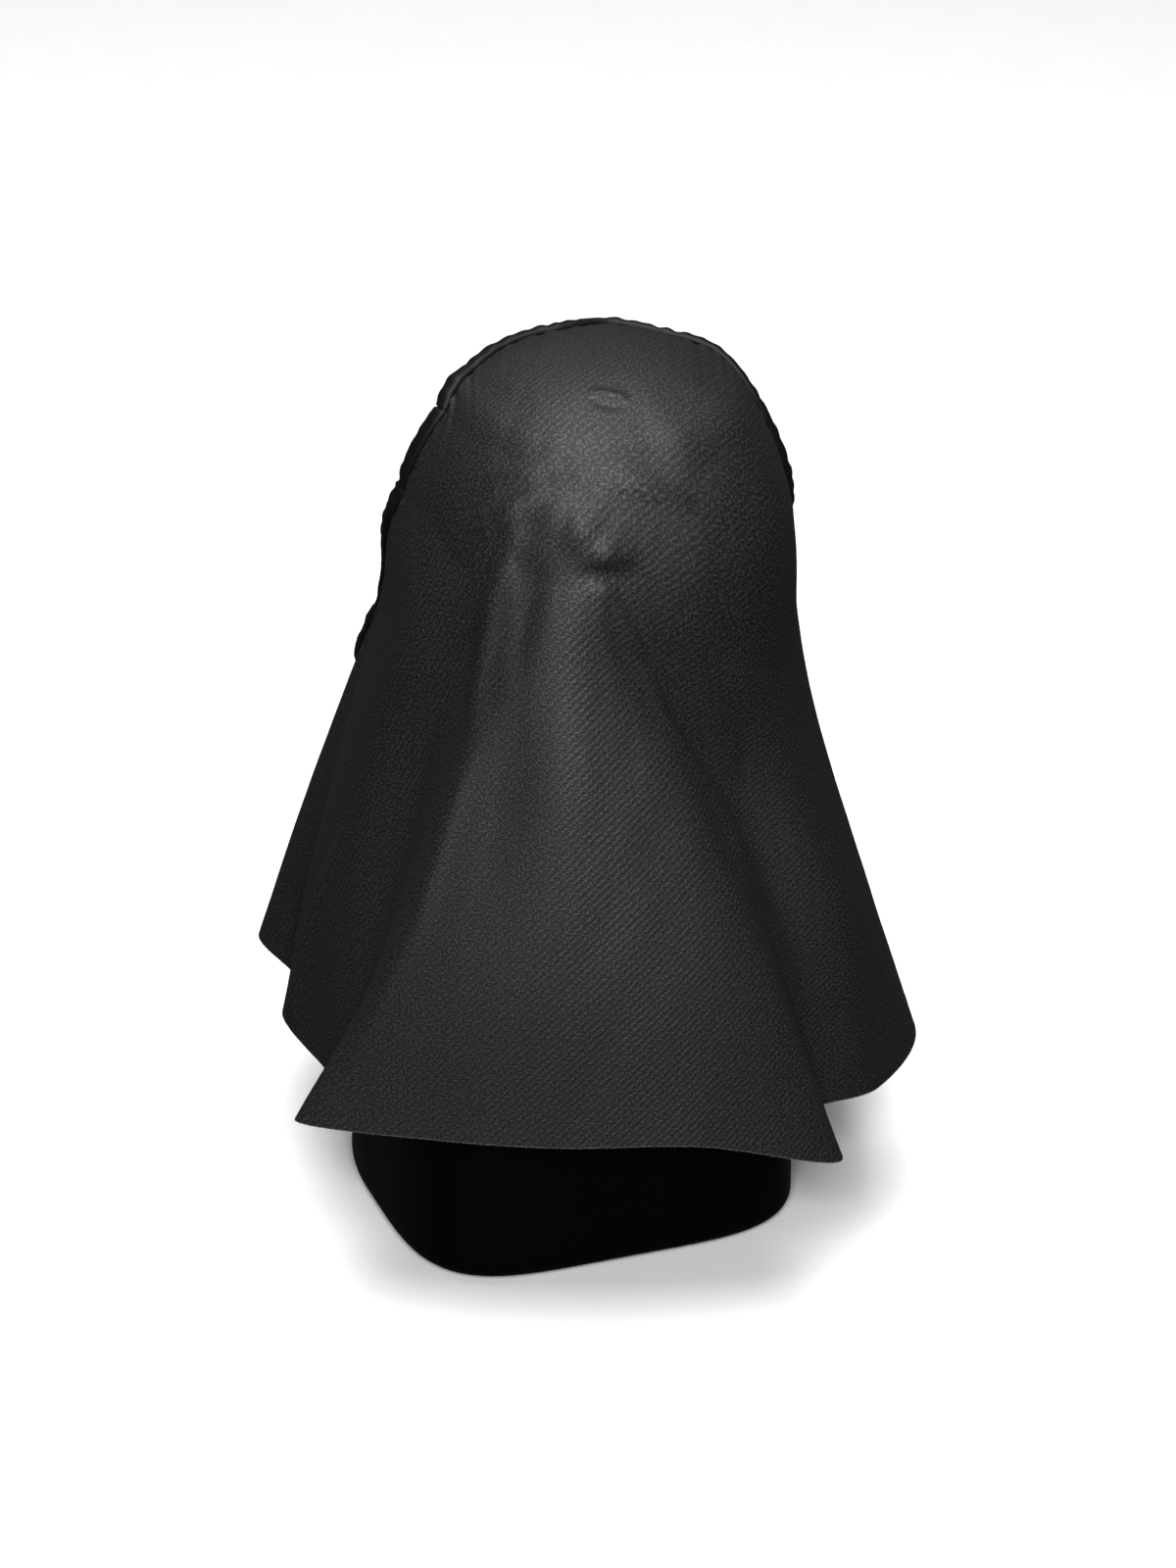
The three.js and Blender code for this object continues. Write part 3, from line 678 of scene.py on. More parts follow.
@dataclass
class Drape:
    """The cloth's surface as a smooth skin over its ribs, from the crown at station 0 to the hem."""

    form: FormShape
    clearance: float = 2.2
    front_slit: float = 4.0
    controls: Array = field(init=False)
    turns: Array = field(init=False)
    rim: Array = field(init=False)

    def __post_init__(self) -> None:
        """Places the ribs' points and the rim."""
        self.controls = np.array([self._rib_controls(rib) for rib in RIBS])
        turns = np.array([rib.turn for rib in RIBS], float)
        self.turns = np.concatenate([turns - 360, turns, turns + 360])
        self.first = self._place_at_front(-self.front_slit / 2)
        self.last = len(RIBS) + self._place_at_front(self.front_slit / 2)
        ends = [(self.turn_at(np.array(place)), CHIN_STATION) for place in (self.first, self.last)]
        rim = [ends[0], *RIM_LEFT, RIM_TOP, *RIM_RIGHT, RIM_END, ends[1]]
        points = np.array([self._on_disc(np.radians(turn), station) for turn, station in rim])
        self.rim = np.vstack([2 * points[0] - points[1], points, 2 * points[-1] - points[-2]])

    def _rib_controls(self, rib: Rib) -> Array:
        """Returns a rib's points with one extra beyond each end for the curve's ends."""
        angle = math.radians(rib.turn)
        dome = []
        for share, puff_share in zip(DOME_SHARES, PUFF_SHARES):
            puff = rib.puff * puff_share
            at = self.form.dome_point(np.array(angle), np.array(share, float), self.clearance)
            dome.append(at + around_axis(np.array(angle), puff, puff / 2))
        hanging = self.form.push_clear(np.array(rib.points, float), self.clearance)
        inner = np.vstack([dome, hanging])
        across = inner[1] * (-1, -1, 1) + (2 * inner[0][0], 0, 0)
        return np.vstack([across, inner, 2 * inner[-1] - inner[-2]])

    @staticmethod
    def _on_disc(angle: Array, station: Array) -> Array:
        """Returns where a turn and a station lie on the cloth laid out as a disc."""
        return np.stack([station * np.sin(angle), -station * np.cos(angle)], -1)

    def turn_at(self, place: Array) -> Array:
        """Returns the turn in degrees at a place counted in ribs."""
        return np.interp(place, np.arange(len(self.turns)) - len(RIBS), self.turns)

    def place_at(self, turn: Array) -> Array:
        """Returns the place counted in ribs at a turn in degrees."""
        return np.interp(turn, self.turns, np.arange(len(self.turns)) - len(RIBS))

    def _along_rib(self, index: Array, station: Array) -> Array:
        """Returns points on ribs at a station."""
        ribs = self.controls[np.mod(index, len(RIBS))]
        start = np.clip(np.floor(station), 0, STATIONS - 1).astype(int)
        rows = np.arange(len(start))
        near = [ribs[rows, start + k] for k in range(4)]
        return catmull(*near, (station - start)[:, None])

    def surface(self, place: Array, station: Array) -> Array:
        """Returns points of the skin at places and stations, as flat arrays."""
        start = np.floor(place).astype(int)
        near = [self._along_rib(start + k, station) for k in (-1, 0, 1, 2)]
        return catmull(*near, (place - start)[:, None])

    def _place_at_front(self, x: float) -> float:
        """Returns the place between the two front ribs where the hem stands x from the middle."""
        low, high = -1.0, 0.0
        for _ in range(40):
            middle = (low + high) / 2
            at = self.surface(np.array([middle]), np.array([float(STATIONS)]))
            low, high = (middle, high) if at[0, 0] > x else (low, middle)
        return low

    def cape(self, around: Array, down: Array) -> Array:
        """Returns points of the cape.

        Args:
            around: Share of the way from one front edge to the other.
            down: Share of the way from the rim to the hem.

        Returns:
            Points in millimetres, with the shape of the arguments and a last axis of 3.
        """
        around, down = np.broadcast_arrays(np.asarray(around, float), np.asarray(down, float))
        a, d = around.ravel(), down.ravel()
        segments = len(self.rim) - 3
        s = a * segments
        start = np.clip(np.floor(s), 0, segments - 1).astype(int)
        rim = catmull(*(self.rim[start + k] for k in range(4)), (s - start)[:, None])
        hem_turn = np.radians(self.turn_at(self.first + (self.last - self.first) * a))
        hem = self._on_disc(hem_turn, np.full_like(a, STATIONS))
        spot = rim + (hem - rim) * d[:, None]
        turn = np.degrees(np.arctan2(spot[:, 0], -spot[:, 1]))
        station = np.minimum(np.hypot(spot[:, 0], spot[:, 1]), STATIONS)
        skin = self.surface(self.place_at(turn), station)
        return self.form.push_clear(skin, self.clearance).reshape(*around.shape, 3)


def between(values: Array, at: Array, count: int) -> Array:
    """Reads rows given at some places of 0..count - 1 at every place.

    Args:
        values: The rows.
        at: The place of each row.
        count: How many places there are.

    Returns:
        A row for each place, read in between.
    """
    every = np.arange(count)
    low = np.clip(np.searchsorted(at, every, side="right") - 1, 0, len(at) - 2)
    share = (every - at[low]) / (at[low + 1] - at[low])
    return values[low] + (values[low + 1] - values[low]) * share[:, None, None]


def weave_map(points: Array, stride: int = 5) -> Array:
    """Lays a cloth out flat with its angles kept, so that its weave runs evenly over the folds.

    Args:
        points: The cloth's middle surface as a grid, in millimetres.
        stride: Grid steps between the points that are laid out; the rest are read in between.

    Returns:
        The flat (u, v) of each point in millimetres, with v running down the middle of the grid.
    """
    rows, columns = (np.unique(np.append(np.arange(0, n, stride), n - 1)) for n in points.shape[:2])
    coarse = points[np.ix_(rows, columns)]
    count, size = coarse.shape[:2]
    quads = sheet_faces(count, size)[: (count - 1) * (size - 1)]
    mesh = bpy.data.meshes.new("flat_pattern")
    mesh.from_pydata(coarse.reshape(-1, 3).tolist(), [], quads.tolist())
    mesh.uv_layers.new(name="UVMap")
    guide = bpy.data.objects.new("flat_pattern", mesh)
    bpy.context.scene.collection.objects.link(guide)
    bpy.context.view_layer.objects.active = guide
    bpy.ops.object.mode_set(mode="EDIT")
    bpy.ops.mesh.select_all(action="SELECT")
    bpy.ops.uv.unwrap(method="CONFORMAL", margin=0.0)
    bpy.ops.object.mode_set(mode="OBJECT")
    corners = np.zeros(len(mesh.loops), np.int32)
    mesh.loops.foreach_get("vertex_index", corners)
    laid = np.zeros(2 * len(corners), np.float32)
    mesh.uv_layers.active.data.foreach_get("uv", laid)
    flat = np.zeros((count * size, 2))
    flat[corners] = laid.reshape(-1, 2)
    flat = flat.reshape(count, size, 2)
    bpy.data.objects.remove(guide)
    bpy.data.meshes.remove(mesh)
    real = np.linalg.norm(np.diff(coarse, axis=1), axis=2)
    flat *= np.median(real / np.maximum(np.linalg.norm(np.diff(flat, axis=1), axis=2), 1e-9))
    middle = count // 2
    down = unit(flat[middle, -1] - flat[middle, size // 2])
    right = unit(flat[middle + 3, size // 2] - flat[middle - 3, size // 2])
    side = np.array([down[1], -down[0]])
    side = side if side @ right > 0 else -side
    flat = np.stack([flat @ side, flat @ down], -1)
    fine = between(flat, rows, points.shape[0])
    return between(fine.transpose(1, 0, 2), columns, points.shape[1]).transpose(1, 0, 2)


# ---- Geometry Nodes for what repeats --------------------------------------------------------------


@dataclass
class PathTree:
    """A Geometry Nodes tree that sets one small shape along a path, again and again."""

    name: str
    inputs: dict[str, float]
    material: bpy.types.Material

    def __post_init__(self) -> None:
        """Starts the tree with a geometry in and out, its named numbers and its dots along the path."""
        self.tree = bpy.data.node_groups.new(self.name, "GeometryNodeTree")
        self.add = partial(add_node, self.tree)
        for way in ("INPUT", "OUTPUT"):
            self.tree.interface.new_socket("Geometry", in_out=way, socket_type="NodeSocketGeometry")
        for label, value in self.inputs.items():
            kind = "NodeSocketInt" if isinstance(value, int) else "NodeSocketFloat"
            self.tree.interface.new_socket(label, in_out="INPUT", socket_type=kind).default_value = value
        self.sizes = self.add("NodeGroupInput").outputs
        path = self.add("GeometryNodeMeshToCurve", None, Mesh=self.sizes["Geometry"])
        self.dots = self.add(
            "GeometryNodeResampleCurve", {"mode": "LENGTH"}, Curve=path, Length=self.sizes["Pitch"]
        )

    def close(self, shape: bpy.types.Node, way: bpy.types.Node, **more) -> bpy.types.NodeTree:
        """Sets the shape on the dots and ends the tree in real geometry with its material.

        Args:
            shape: The node that makes the repeated shape, along +Z.
            way: The node that says which way each one points.
            **more: Other inputs of the instances.

        Returns:
            The finished tree.
        """
        turn = self.add("FunctionNodeAlignRotationToVector", {"axis": "Z"}, Vector=way)
        laid = self.add(
            "GeometryNodeInstanceOnPoints", None, Points=self.dots, Instance=shape, Rotation=turn, **more
        )
        real = self.add("GeometryNodeRealizeInstances", None, i0=laid)
        done = self.add("GeometryNodeSetMaterial", None, Geometry=real, Material=self.material)
        self.add("NodeGroupOutput", None, i0=done)
        return self.tree


def stitch_tree(material: bpy.types.Material) -> bpy.types.NodeTree:
    """Builds a tree that lays a row of stitches along a path, each a short round stroke of thread."""
    inputs = {"Pitch": 3.2 * MM, "Length": 2.4 * MM, "Thread": 0.3 * MM}
    started = PathTree("stitches", inputs, material)
    add, sizes = started.add, started.sizes
    stroke = add("GeometryNodeMeshUVSphere", None, Segments=6, Rings=6, Radius=sizes["Thread"])
    across = add(MATH, MULTIPLY, i0=sizes["Thread"], i1=2.0)
    slender = add(MATH, {"operation": "DIVIDE"}, i0=sizes["Length"], i1=across)
    long = add("ShaderNodeCombineXYZ", None, X=1.0, Y=1.0, Z=slender)
    shaped = add("GeometryNodeTransform", None, Geometry=stroke, Scale=long)
    return started.close(shaped, add("GeometryNodeInputTangent"))


def fray_tree(material: bpy.types.Material) -> bpy.types.NodeTree:
    """Builds a tree that leaves cut yarn ends along a raw edge, pointing roughly along its out attribute."""
    inputs = {"Pitch": 1.1 * MM, "Length": 1.1 * MM, "Yarn": 0.09 * MM, "Spread": 0.7, "Seed": SEED}
    started = PathTree("yarn_ends", inputs, material)
    add, sizes = started.add, started.sizes
    seed = sizes["Seed"]
    vector = {"data_type": "FLOAT_VECTOR"}
    out = add("GeometryNodeInputNamedAttribute", vector, Name="out")
    stray = add("FunctionNodeRandomValue", vector, i0=(-1.0, -1.0, -1.0), i1=(1.0, 1.0, 1.0), Seed=seed)
    spread = add("ShaderNodeVectorMath", {"operation": "SCALE"}, i0=stray, Scale=sizes["Spread"])
    way = add("ShaderNodeVectorMath", {"operation": "ADD"}, i0=out, i1=spread)
    yarn = {"Radius_Top": 0.0, "Radius_Bottom": sizes["Yarn"], "Depth": sizes["Length"]}
    hair = add("GeometryNodeMeshCone", None, Vertices=4, **yarn)
    size = add("FunctionNodeRandomValue", {"data_type": "FLOAT"}, i2=0.3, i3=1.5, Seed=seed).outputs[1]
    return started.close(hair, way, Scale=size)


def grow_on_path(
    name: str, tree: bpy.types.NodeTree, path: Array, values: dict[str, float], out: Array | None = None
) -> bpy.types.Object:
    """Runs a Geometry Nodes tree on a path and keeps the result as a plain mesh.

    Args:
        name: The piece's name.
        tree: The tree to run.
        path: The path's points in metres.
        values: The tree's inputs, by name.
        out: A direction for each point, stored as the out attribute.

    Returns:
        The piece, a mesh object at the origin with no modifier.
    """
    mesh = bpy.data.meshes.new(name + "_path")
    mesh.from_pydata(np.asarray(path, float).tolist(), [[i, i + 1] for i in range(len(path) - 1)], [])
    if out is not None:
        store(mesh, "out", out)
    guide = bpy.data.objects.new(name + "_path", mesh)
    bpy.context.scene.collection.objects.link(guide)
    modifier = guide.modifiers.new("grow", "NODES")
    modifier.node_group = tree
    for item in tree.interface.items_tree:
        if item.item_type == "SOCKET" and item.in_out == "INPUT" and item.name in values:
            modifier[item.identifier] = values[item.name]
    depsgraph = bpy.context.evaluated_depsgraph_get()
    made = bpy.data.meshes.new_from_object(guide.evaluated_get(depsgraph))
    made.name = name
    bpy.data.objects.remove(guide)
    bpy.data.meshes.remove(mesh)
    piece = bpy.data.objects.new(name, made)
    bpy.context.scene.collection.objects.link(piece)
    return piece


# ---- Cape -----------------------------------------------------------------------------------------


@dataclass(frozen=True)
class Fold:
    """A soft line pressed into the cloth, or raised out of it.

    path holds its (x, y, z) in millimetres, width is its half width, and depth is how far it sinks, or
    stands out if it is negative. fade gives the share of the depth at its start and its end.
    """

    path: tuple[tuple[float, float, float], ...]
    width: float
    depth: float
    fade: tuple[float, float] = (0.0, 0.0)

    def sink(self, points: Array) -> Array:
        """Returns how far the fold sinks the cloth at each point, in millimetres."""
        line = np.array(self.path, float)
        steps = np.linalg.norm(np.diff(line, axis=0), axis=1)
        total = steps.sum()
        best = np.full(len(points), np.inf)
        share = np.zeros(len(points))
        passed = 0.0
        for start, end, length in zip(line[:-1], line[1:], steps):
            way = (end - start) / length
            along = np.clip((points - start) @ way, 0, length)
            distance = np.linalg.norm(points - start - along[:, None] * way, axis=1)
            nearer = distance < best
            best = np.where(nearer, distance, best)
            share = np.where(nearer, (passed + along) / total, share)
            passed += length
        low, high = self.fade
        body = np.sin(math.pi * share)
        strength = np.maximum(body, low * (1 - share) + high * share)
        return self.depth * strength * np.exp(-((best / self.width) ** 2))


FOLDS = (
    Fold(((-10, -43, 402), (-4, -47, 401), (4, -50, 401)), 2.2, 1.7),  # small tuck on the crown
    Fold(((-10, -38, 404), (-2, -43, 403), (7, -47, 402)), 2.4, -2.2),  # lip above the tuck
    Fold(((-30, -63, 386), (-43, -59, 381), (-59, -46, 372)), 3.2, -2.0),
    Fold(((-37, -68, 378), (-49, -64, 370), (-62, -55, 357)), 3.8, -2.6, (0, 0.5)),
    Fold(((-32, -67, 381), (-44, -64, 376), (-58, -53, 368)), 2.6, 1.4),
    Fold(((-53, -68, 358), (-63, -69, 330), (-70, -72, 296), (-79, -80, 269)), 5.5, -3.2, (0.4, 0)),
    Fold(((-46, -78, 352), (-54, -83, 325), (-62, -87, 297)), 6.0, 2.2),
    Fold(((-37, -77, 366), (-27, -84, 362), (-21, -89, 357)), 9.0, -3.4, (0.5, 0.5)),  # bulge over the flare
    Fold(((-23, -72, 381), (-8, -78, 379), (7, -83, 373), (22, -86, 365)), 5.0, -3.4, (0.3, 0)),
    Fold(((-21, -77, 376), (-8, -82, 373), (7, -86, 368), (20, -89, 359)), 5.0, 1.6, (0.3, 0)),
    Fold(((-28, -89, 351), (-21, -91, 350), (-13, -93, 350)), 4.0, -2.6, (0.4, 0.4)),
    Fold(((-27, -91, 345), (-21, -92, 344), (-13, -95, 344)), 4.0, 3.6, (0.4, 0.6)),  # pit at the flare's top
    Fold(((-11, -96, 337), (-1, -99, 310), (10, -101, 275), (29, -100, 235)), 9.0, 4.2, (0.7, 0)),
    Fold(
        ((-22, -94, 339), (-10, -98, 315), (5, -103, 276), (26, -106, 230), (48, -111, 176), (64, -117, 118)),
        4.5,
        -2.4,
        (0.5, 0),
    ),
    Fold(
        (
            *((-71, -82, 285), (-82, -85, 258), (-92, -88, 231)),
            *((-105, -90, 193), (-123, -86, 152), (-138, -83, 120)),
        ),
        4.5,
        -2.0,
    ),
    Fold(((-111, -12, 207), (-122, 2, 158), (-129, 7, 124), (-133, 8, 104)), 4.0, -2.0, (0, 1)),
    Fold(((30, -105, 224), (33, -116, 204), (40, -117, 187)), 6.0, -1.4),
)


@dataclass
class CapePanel:
    """The twill panel, gathered at its rim, falling in folds to a raw hem."""

    drape: Drape
    finishes: Finishes
    steps_around: int = 356
    steps_down: int = 132
    thickness: float = 0.4
    tuck_in: float = 1.6  # how far the rim runs into its casing
    gather_reach: float = 17.0
    gather_pitch: float = 9.5
    gather_height: float = 0.45
    flat: tuple[float, float] = (1.02, 0.43)
    flat_area: float = 0.225

    def grid(self) -> tuple[Array, Array]:
        """Returns the shares around and down of the mesh, closer together at the back and on the crown."""
        even = np.linspace(0, 1, self.steps_around + 1)
        around = even + 0.055 * np.sin(2 * math.pi * even)
        down = np.linspace(0, 1, self.steps_down + 1)
        down = down - 0.12 * np.sin(math.pi * down)
        return np.meshgrid(around, down, indexing="ij")

    @staticmethod
    def normals(points: Array) -> Array:
        """Returns the outward normal at each point of the grid."""
        along = np.gradient(points, axis=0)
        fall = np.gradient(points, axis=1)
        return unit(np.cross(fall, along))

    def relief(self, points: Array, rim_distance: Array, rim_run: Array, run: Array) -> Array:
        """Returns how far the cloth stands out from its smooth drape, in millimetres.

        Args:
            points: The smooth drape.
            rim_distance: Each point's distance down from the rim.
            rim_run: Its run along the rim.
            run: Its own run round the cape.

        Returns:
            The height of the gathers, folds and soft waves at each point.
        """
        rng = np.random.default_rng(SEED)
        flat = points.reshape(-1, 3)
        sink = sum(fold.sink(flat) for fold in FOLDS).reshape(points.shape[:2])
        gathers = ripple(rim_run, self.gather_pitch, rng) * np.exp(-rim_distance / self.gather_reach)
        soft = ripple(run + 0.3 * rim_distance, 34.0, rng) * ripple(rim_distance - 0.2 * run, 95.0, rng)
        fine = ripple(run * 0.9 + 0.25 * rim_distance, 11.0, rng) * ripple(rim_distance, 47.0, rng)
        return self.gather_height * gathers - sink + 0.12 * soft + 0.05 * fine

    def build(self) -> bpy.types.Object:
        """Builds the panel as a thin closed cloth with its flat pattern as UV map."""
        around, down = self.grid()
        points = self.drape.cape(around, down)
        step_down = np.linalg.norm(np.diff(points, axis=1), axis=2)
        rim_distance = np.concatenate([np.zeros((len(points), 1)), np.cumsum(step_down, axis=1)], 1)
        step_around = np.linalg.norm(np.diff(points, axis=0), axis=2)
        run = np.concatenate([np.zeros((1, points.shape[1])), np.cumsum(step_around, axis=0)], 0)
        middle = np.argmin(np.abs(around[:, 0] - 0.5))
        run -= run[middle]
        rim_run = np.repeat(run[:, :1], points.shape[1], 1)
        normal = self.normals(points)
        points = points + normal * self.relief(points, rim_distance, rim_run, run)[..., None]
        points[:, 0] += unit(points[:, 0] - points[:, 1]) * self.tuck_in
        points = self.drape.form.push_clear(points, self.thickness / 2 + 0.35)
        normal = self.normals(points)
        self.middle, self.normal, self.rim_run = points, normal, rim_run[:, 0]
        self.hem_distance = rim_distance[:, -1:] - rim_distance
        return self._closed(points, normal, weave_map(points) * MM)

    def _closed(self, points: Array, normal: Array, uv: Array) -> bpy.types.Object:
        """Gives the surface its thickness and closes its four edges.

        Args:
            points: The cloth's middle surface.
            normal: The way out of it at each point.
            uv: The weave's place at each point, in metres.

        Returns:
            The panel, seated on its body.
        """
        half = normal * self.thickness / 2
        both = np.concatenate([(points + half).reshape(-1, 3), (points - half).reshape(-1, 3)]) * MM
        faces = sheet_faces(*points.shape[:2])
        flat = np.tile(uv.reshape(-1, 2), (2, 1))
        piece = mesh_object("cape_cloth", both, faces, self.finishes.twill, flat)
        store(piece.data, "hem_distance", np.tile(self.hem_distance.ravel() * MM, 2))
        piece.data.set_sharp_from_angle(angle=math.radians(60))  # the cut edge is crisp
        seat(piece, Body.CAPE, Slot.TWILL, "cape_panel")
        return piece

    def hem_path(self) -> tuple[Array, Array]:
        """Returns the hem's line in metres, and the way out of the cloth at each of its points."""
        edge = self.middle[:, -1]
        return edge * MM, unit(edge - self.middle[:, -2])


@dataclass
class RimCasing:
    """The bound casing round the face opening, puckered by the elastic inside it."""

    panel: CapePanel
    finishes: Finishes
    width: float = 9.0
    depth: float = 4.4
    wall: float = 0.5
    lift: float = 0.9
    pucker_pitch: float = 9.0
    scallop_pitch: float = 15.0
    section_points: int = 18
    flat: tuple[float, float] = (0.74, 0.028)

    def frames(self, count: int) -> tuple[Array, Array, Array, Array]:
        """Follows the smooth rim.

        Args:
            count: How many points are read.

        Returns:
            The points, the ways out of the cloth and off its face, and the run along the rim.
        """
        around = np.linspace(0, 1, count)
        cape = self.panel.drape.cape
        rim = cape(around, 0.0)
        tangent = unit(np.gradient(rim, axis=0))
        out = rim - cape(around, 0.02)
        out = unit(out - (out * tangent).sum(1, keepdims=True) * tangent)
        normal = np.cross(out, tangent)
        centre = rim.mean(0)
        flip = np.sign(((rim - centre) * normal).sum())
        run = np.concatenate([[0], np.cumsum(np.linalg.norm(np.diff(rim, axis=0), axis=1))])
        return rim, out, normal * flip, run

    def build(self) -> None:
        """Builds the casing, its elastic and its line of stitches."""
        self._casing()
        self._elastic()
        self._stitches()

    def _casing(self) -> None:
        """Builds the casing as a folded strip, open at both ends."""
        rng = np.random.default_rng(SEED + 1)
        rim, out, normal, run = self.frames(900)
        puckers = ripple(run, self.pucker_pitch, rng)
        scallops = ripple(run, self.scallop_pitch, rng)
        half_width = self.width / 2
        middle = rim + out * (half_width + 0.1) + normal * self.lift
        turn = np.linspace(0, 2 * math.pi, self.section_points, endpoint=False)
        rings = []
        for inset in (0.0, self.wall):
            u = np.sign(np.cos(turn)) * np.abs(np.cos(turn)) ** 0.8 * (half_width - inset)
            v = np.sign(np.sin(turn)) * np.abs(np.sin(turn)) ** 0.9 * (self.depth / 2 - inset)
            free = np.clip(u / half_width, 0, 1)[None] ** 2
            u_all = u[None] + free * (0.45 * scallops + 0.12 * puckers)[:, None]
            v_all = v[None] * (1 + 0.08 * puckers[:, None]) + 0.12 * (1 - np.abs(u / half_width))[None] * (
                np.sign(v)[None] * puckers[:, None]
            )
            sideways = out[:, None] * u_all[..., None]
            rings.append(middle[:, None] + sideways + normal[:, None] * v_all[..., None])
        both = np.concatenate([rings[0], rings[1][::-1]])
        points, faces = loft(both, loop=True)
        points = self.panel.drape.form.push_clear(points, 0.2)
        around_section = np.tile(turn / (2 * math.pi) * 2 * (self.width + self.depth), len(both))
        along = np.repeat(np.concatenate([run, run[::-1]]), self.section_points)
        uv = np.stack([along, around_section], -1) * MM
        piece = mesh_object("rim_binding", points * MM, faces_out(points, faces), self.finishes.binding, uv)
        seat(piece, Body.CAPE, Slot.BINDING, "rim_casing")

    def _elastic(self) -> None:
        """Builds the crimped woven elastic inside the casing."""
        rim, out, normal, run = self.frames(700)
        middle = rim + out * (self.width / 2 + 0.3) + normal * self.lift
        crimp = np.sin(run * 2 * math.pi / 2.2) * 0.12
        section = [(2.5, 0.35), (2.2, 0.5), (0, 0.55), (-2.2, 0.5), (-2.5, 0.35)]
        section += [(-2.5, -0.35), (-2.2, -0.5), (0, -0.55), (2.2, -0.5), (2.5, -0.35)]
        rings = np.stack(
            [middle + out * u + normal * (v * (1 + crimp))[:, None] for u, v in section], axis=1
        )
        points, faces = loft(rings)
        piece = mesh_object("rim_elastic", points * MM, faces_out(points, faces), self.finishes.elastic)
        seat(piece, Body.CAPE, Slot.ELASTIC, "elastic_band")

    def _stitches(self) -> None:
        """Sews the casing to the panel along its inner edge."""
        tree = stitch_tree(self.finishes.thread)
        rim, out, normal, _ = self.frames(900)
        values = {"Pitch": 3.4 * MM, "Length": 2.7 * MM, "Thread": 0.32 * MM}
        path = (rim + out * 0.9 + normal * (self.lift + 0.75)) * MM
        piece = grow_on_path("rim_stitches", tree, path, values)
        seat(piece, Body.CAPE, Slot.BINDING)


@dataclass
class RawHem:
    """Cut yarn ends along the raw hem."""

    panel: CapePanel
    finishes: Finishes

    def build(self) -> None:
        """Grows the yarn ends on the hem's line."""
        path, out = self.panel.hem_path()
        tree = fray_tree(self.finishes.fray)
        values = {"Pitch": 1.0 * MM, "Length": 0.8 * MM, "Yarn": 0.07 * MM, "Spread": 0.7, "Seed": SEED}
        seat(grow_on_path("hem_yarn_ends", tree, path, values, out), Body.CAPE, Slot.TWILL)


# ---- Front closure --------------------------------------------------------------------------------


# Each turned piece of a press stud: its body, and its (radius, height off the cloth's middle) in mm.
STUD_PROFILES = {
    "cap": (
        Body.FLAP,
        (
            *((0, 3.8), (1.1, 3.8), (1.1, 6.2), (4.7, 6.2), (4.95, 6.3), (5.0, 6.5), (4.85, 6.72)),
            *((4.2, 6.95), (3.0, 7.12), (1.6, 7.2), (0, 7.22)),
        ),
    ),
    "socket": (
        Body.FLAP,
        (
            *((2.7, 2.0), (2.9, 1.95), (4.2, 2.0), (4.6, 2.2), (5.0, 3.6), (5.0, 4.3), (4.9, 4.4)),
            *((1.4, 4.4), (1.4, 3.7), (2.6, 3.7), (2.7, 3.6), (2.7, 2.0)),
        ),
    ),
    "stud": (
        Body.CAPE,
        (
            *((0, 3.0), (1.4, 3.0), (1.4, 1.1), (4.9, 1.1), (5.0, 1.3), (4.9, 1.6), (4.7, 1.7)),
            *((2.0, 1.7), (1.8, 2.0), (1.9, 2.6), (2.1, 2.9), (2.0, 3.2), (1.7, 3.4), (0, 3.4)),
        ),
    ),
    "post": (
        Body.CAPE,
        (
            *((0, -1.9), (4.6, -1.9), (4.9, -1.8), (5.0, -1.5), (4.9, -1.15), (1.1, -1.1)),
            *((1.1, 2.6), (0.8, 2.7), (0, 2.7)),
        ),
    ),
}


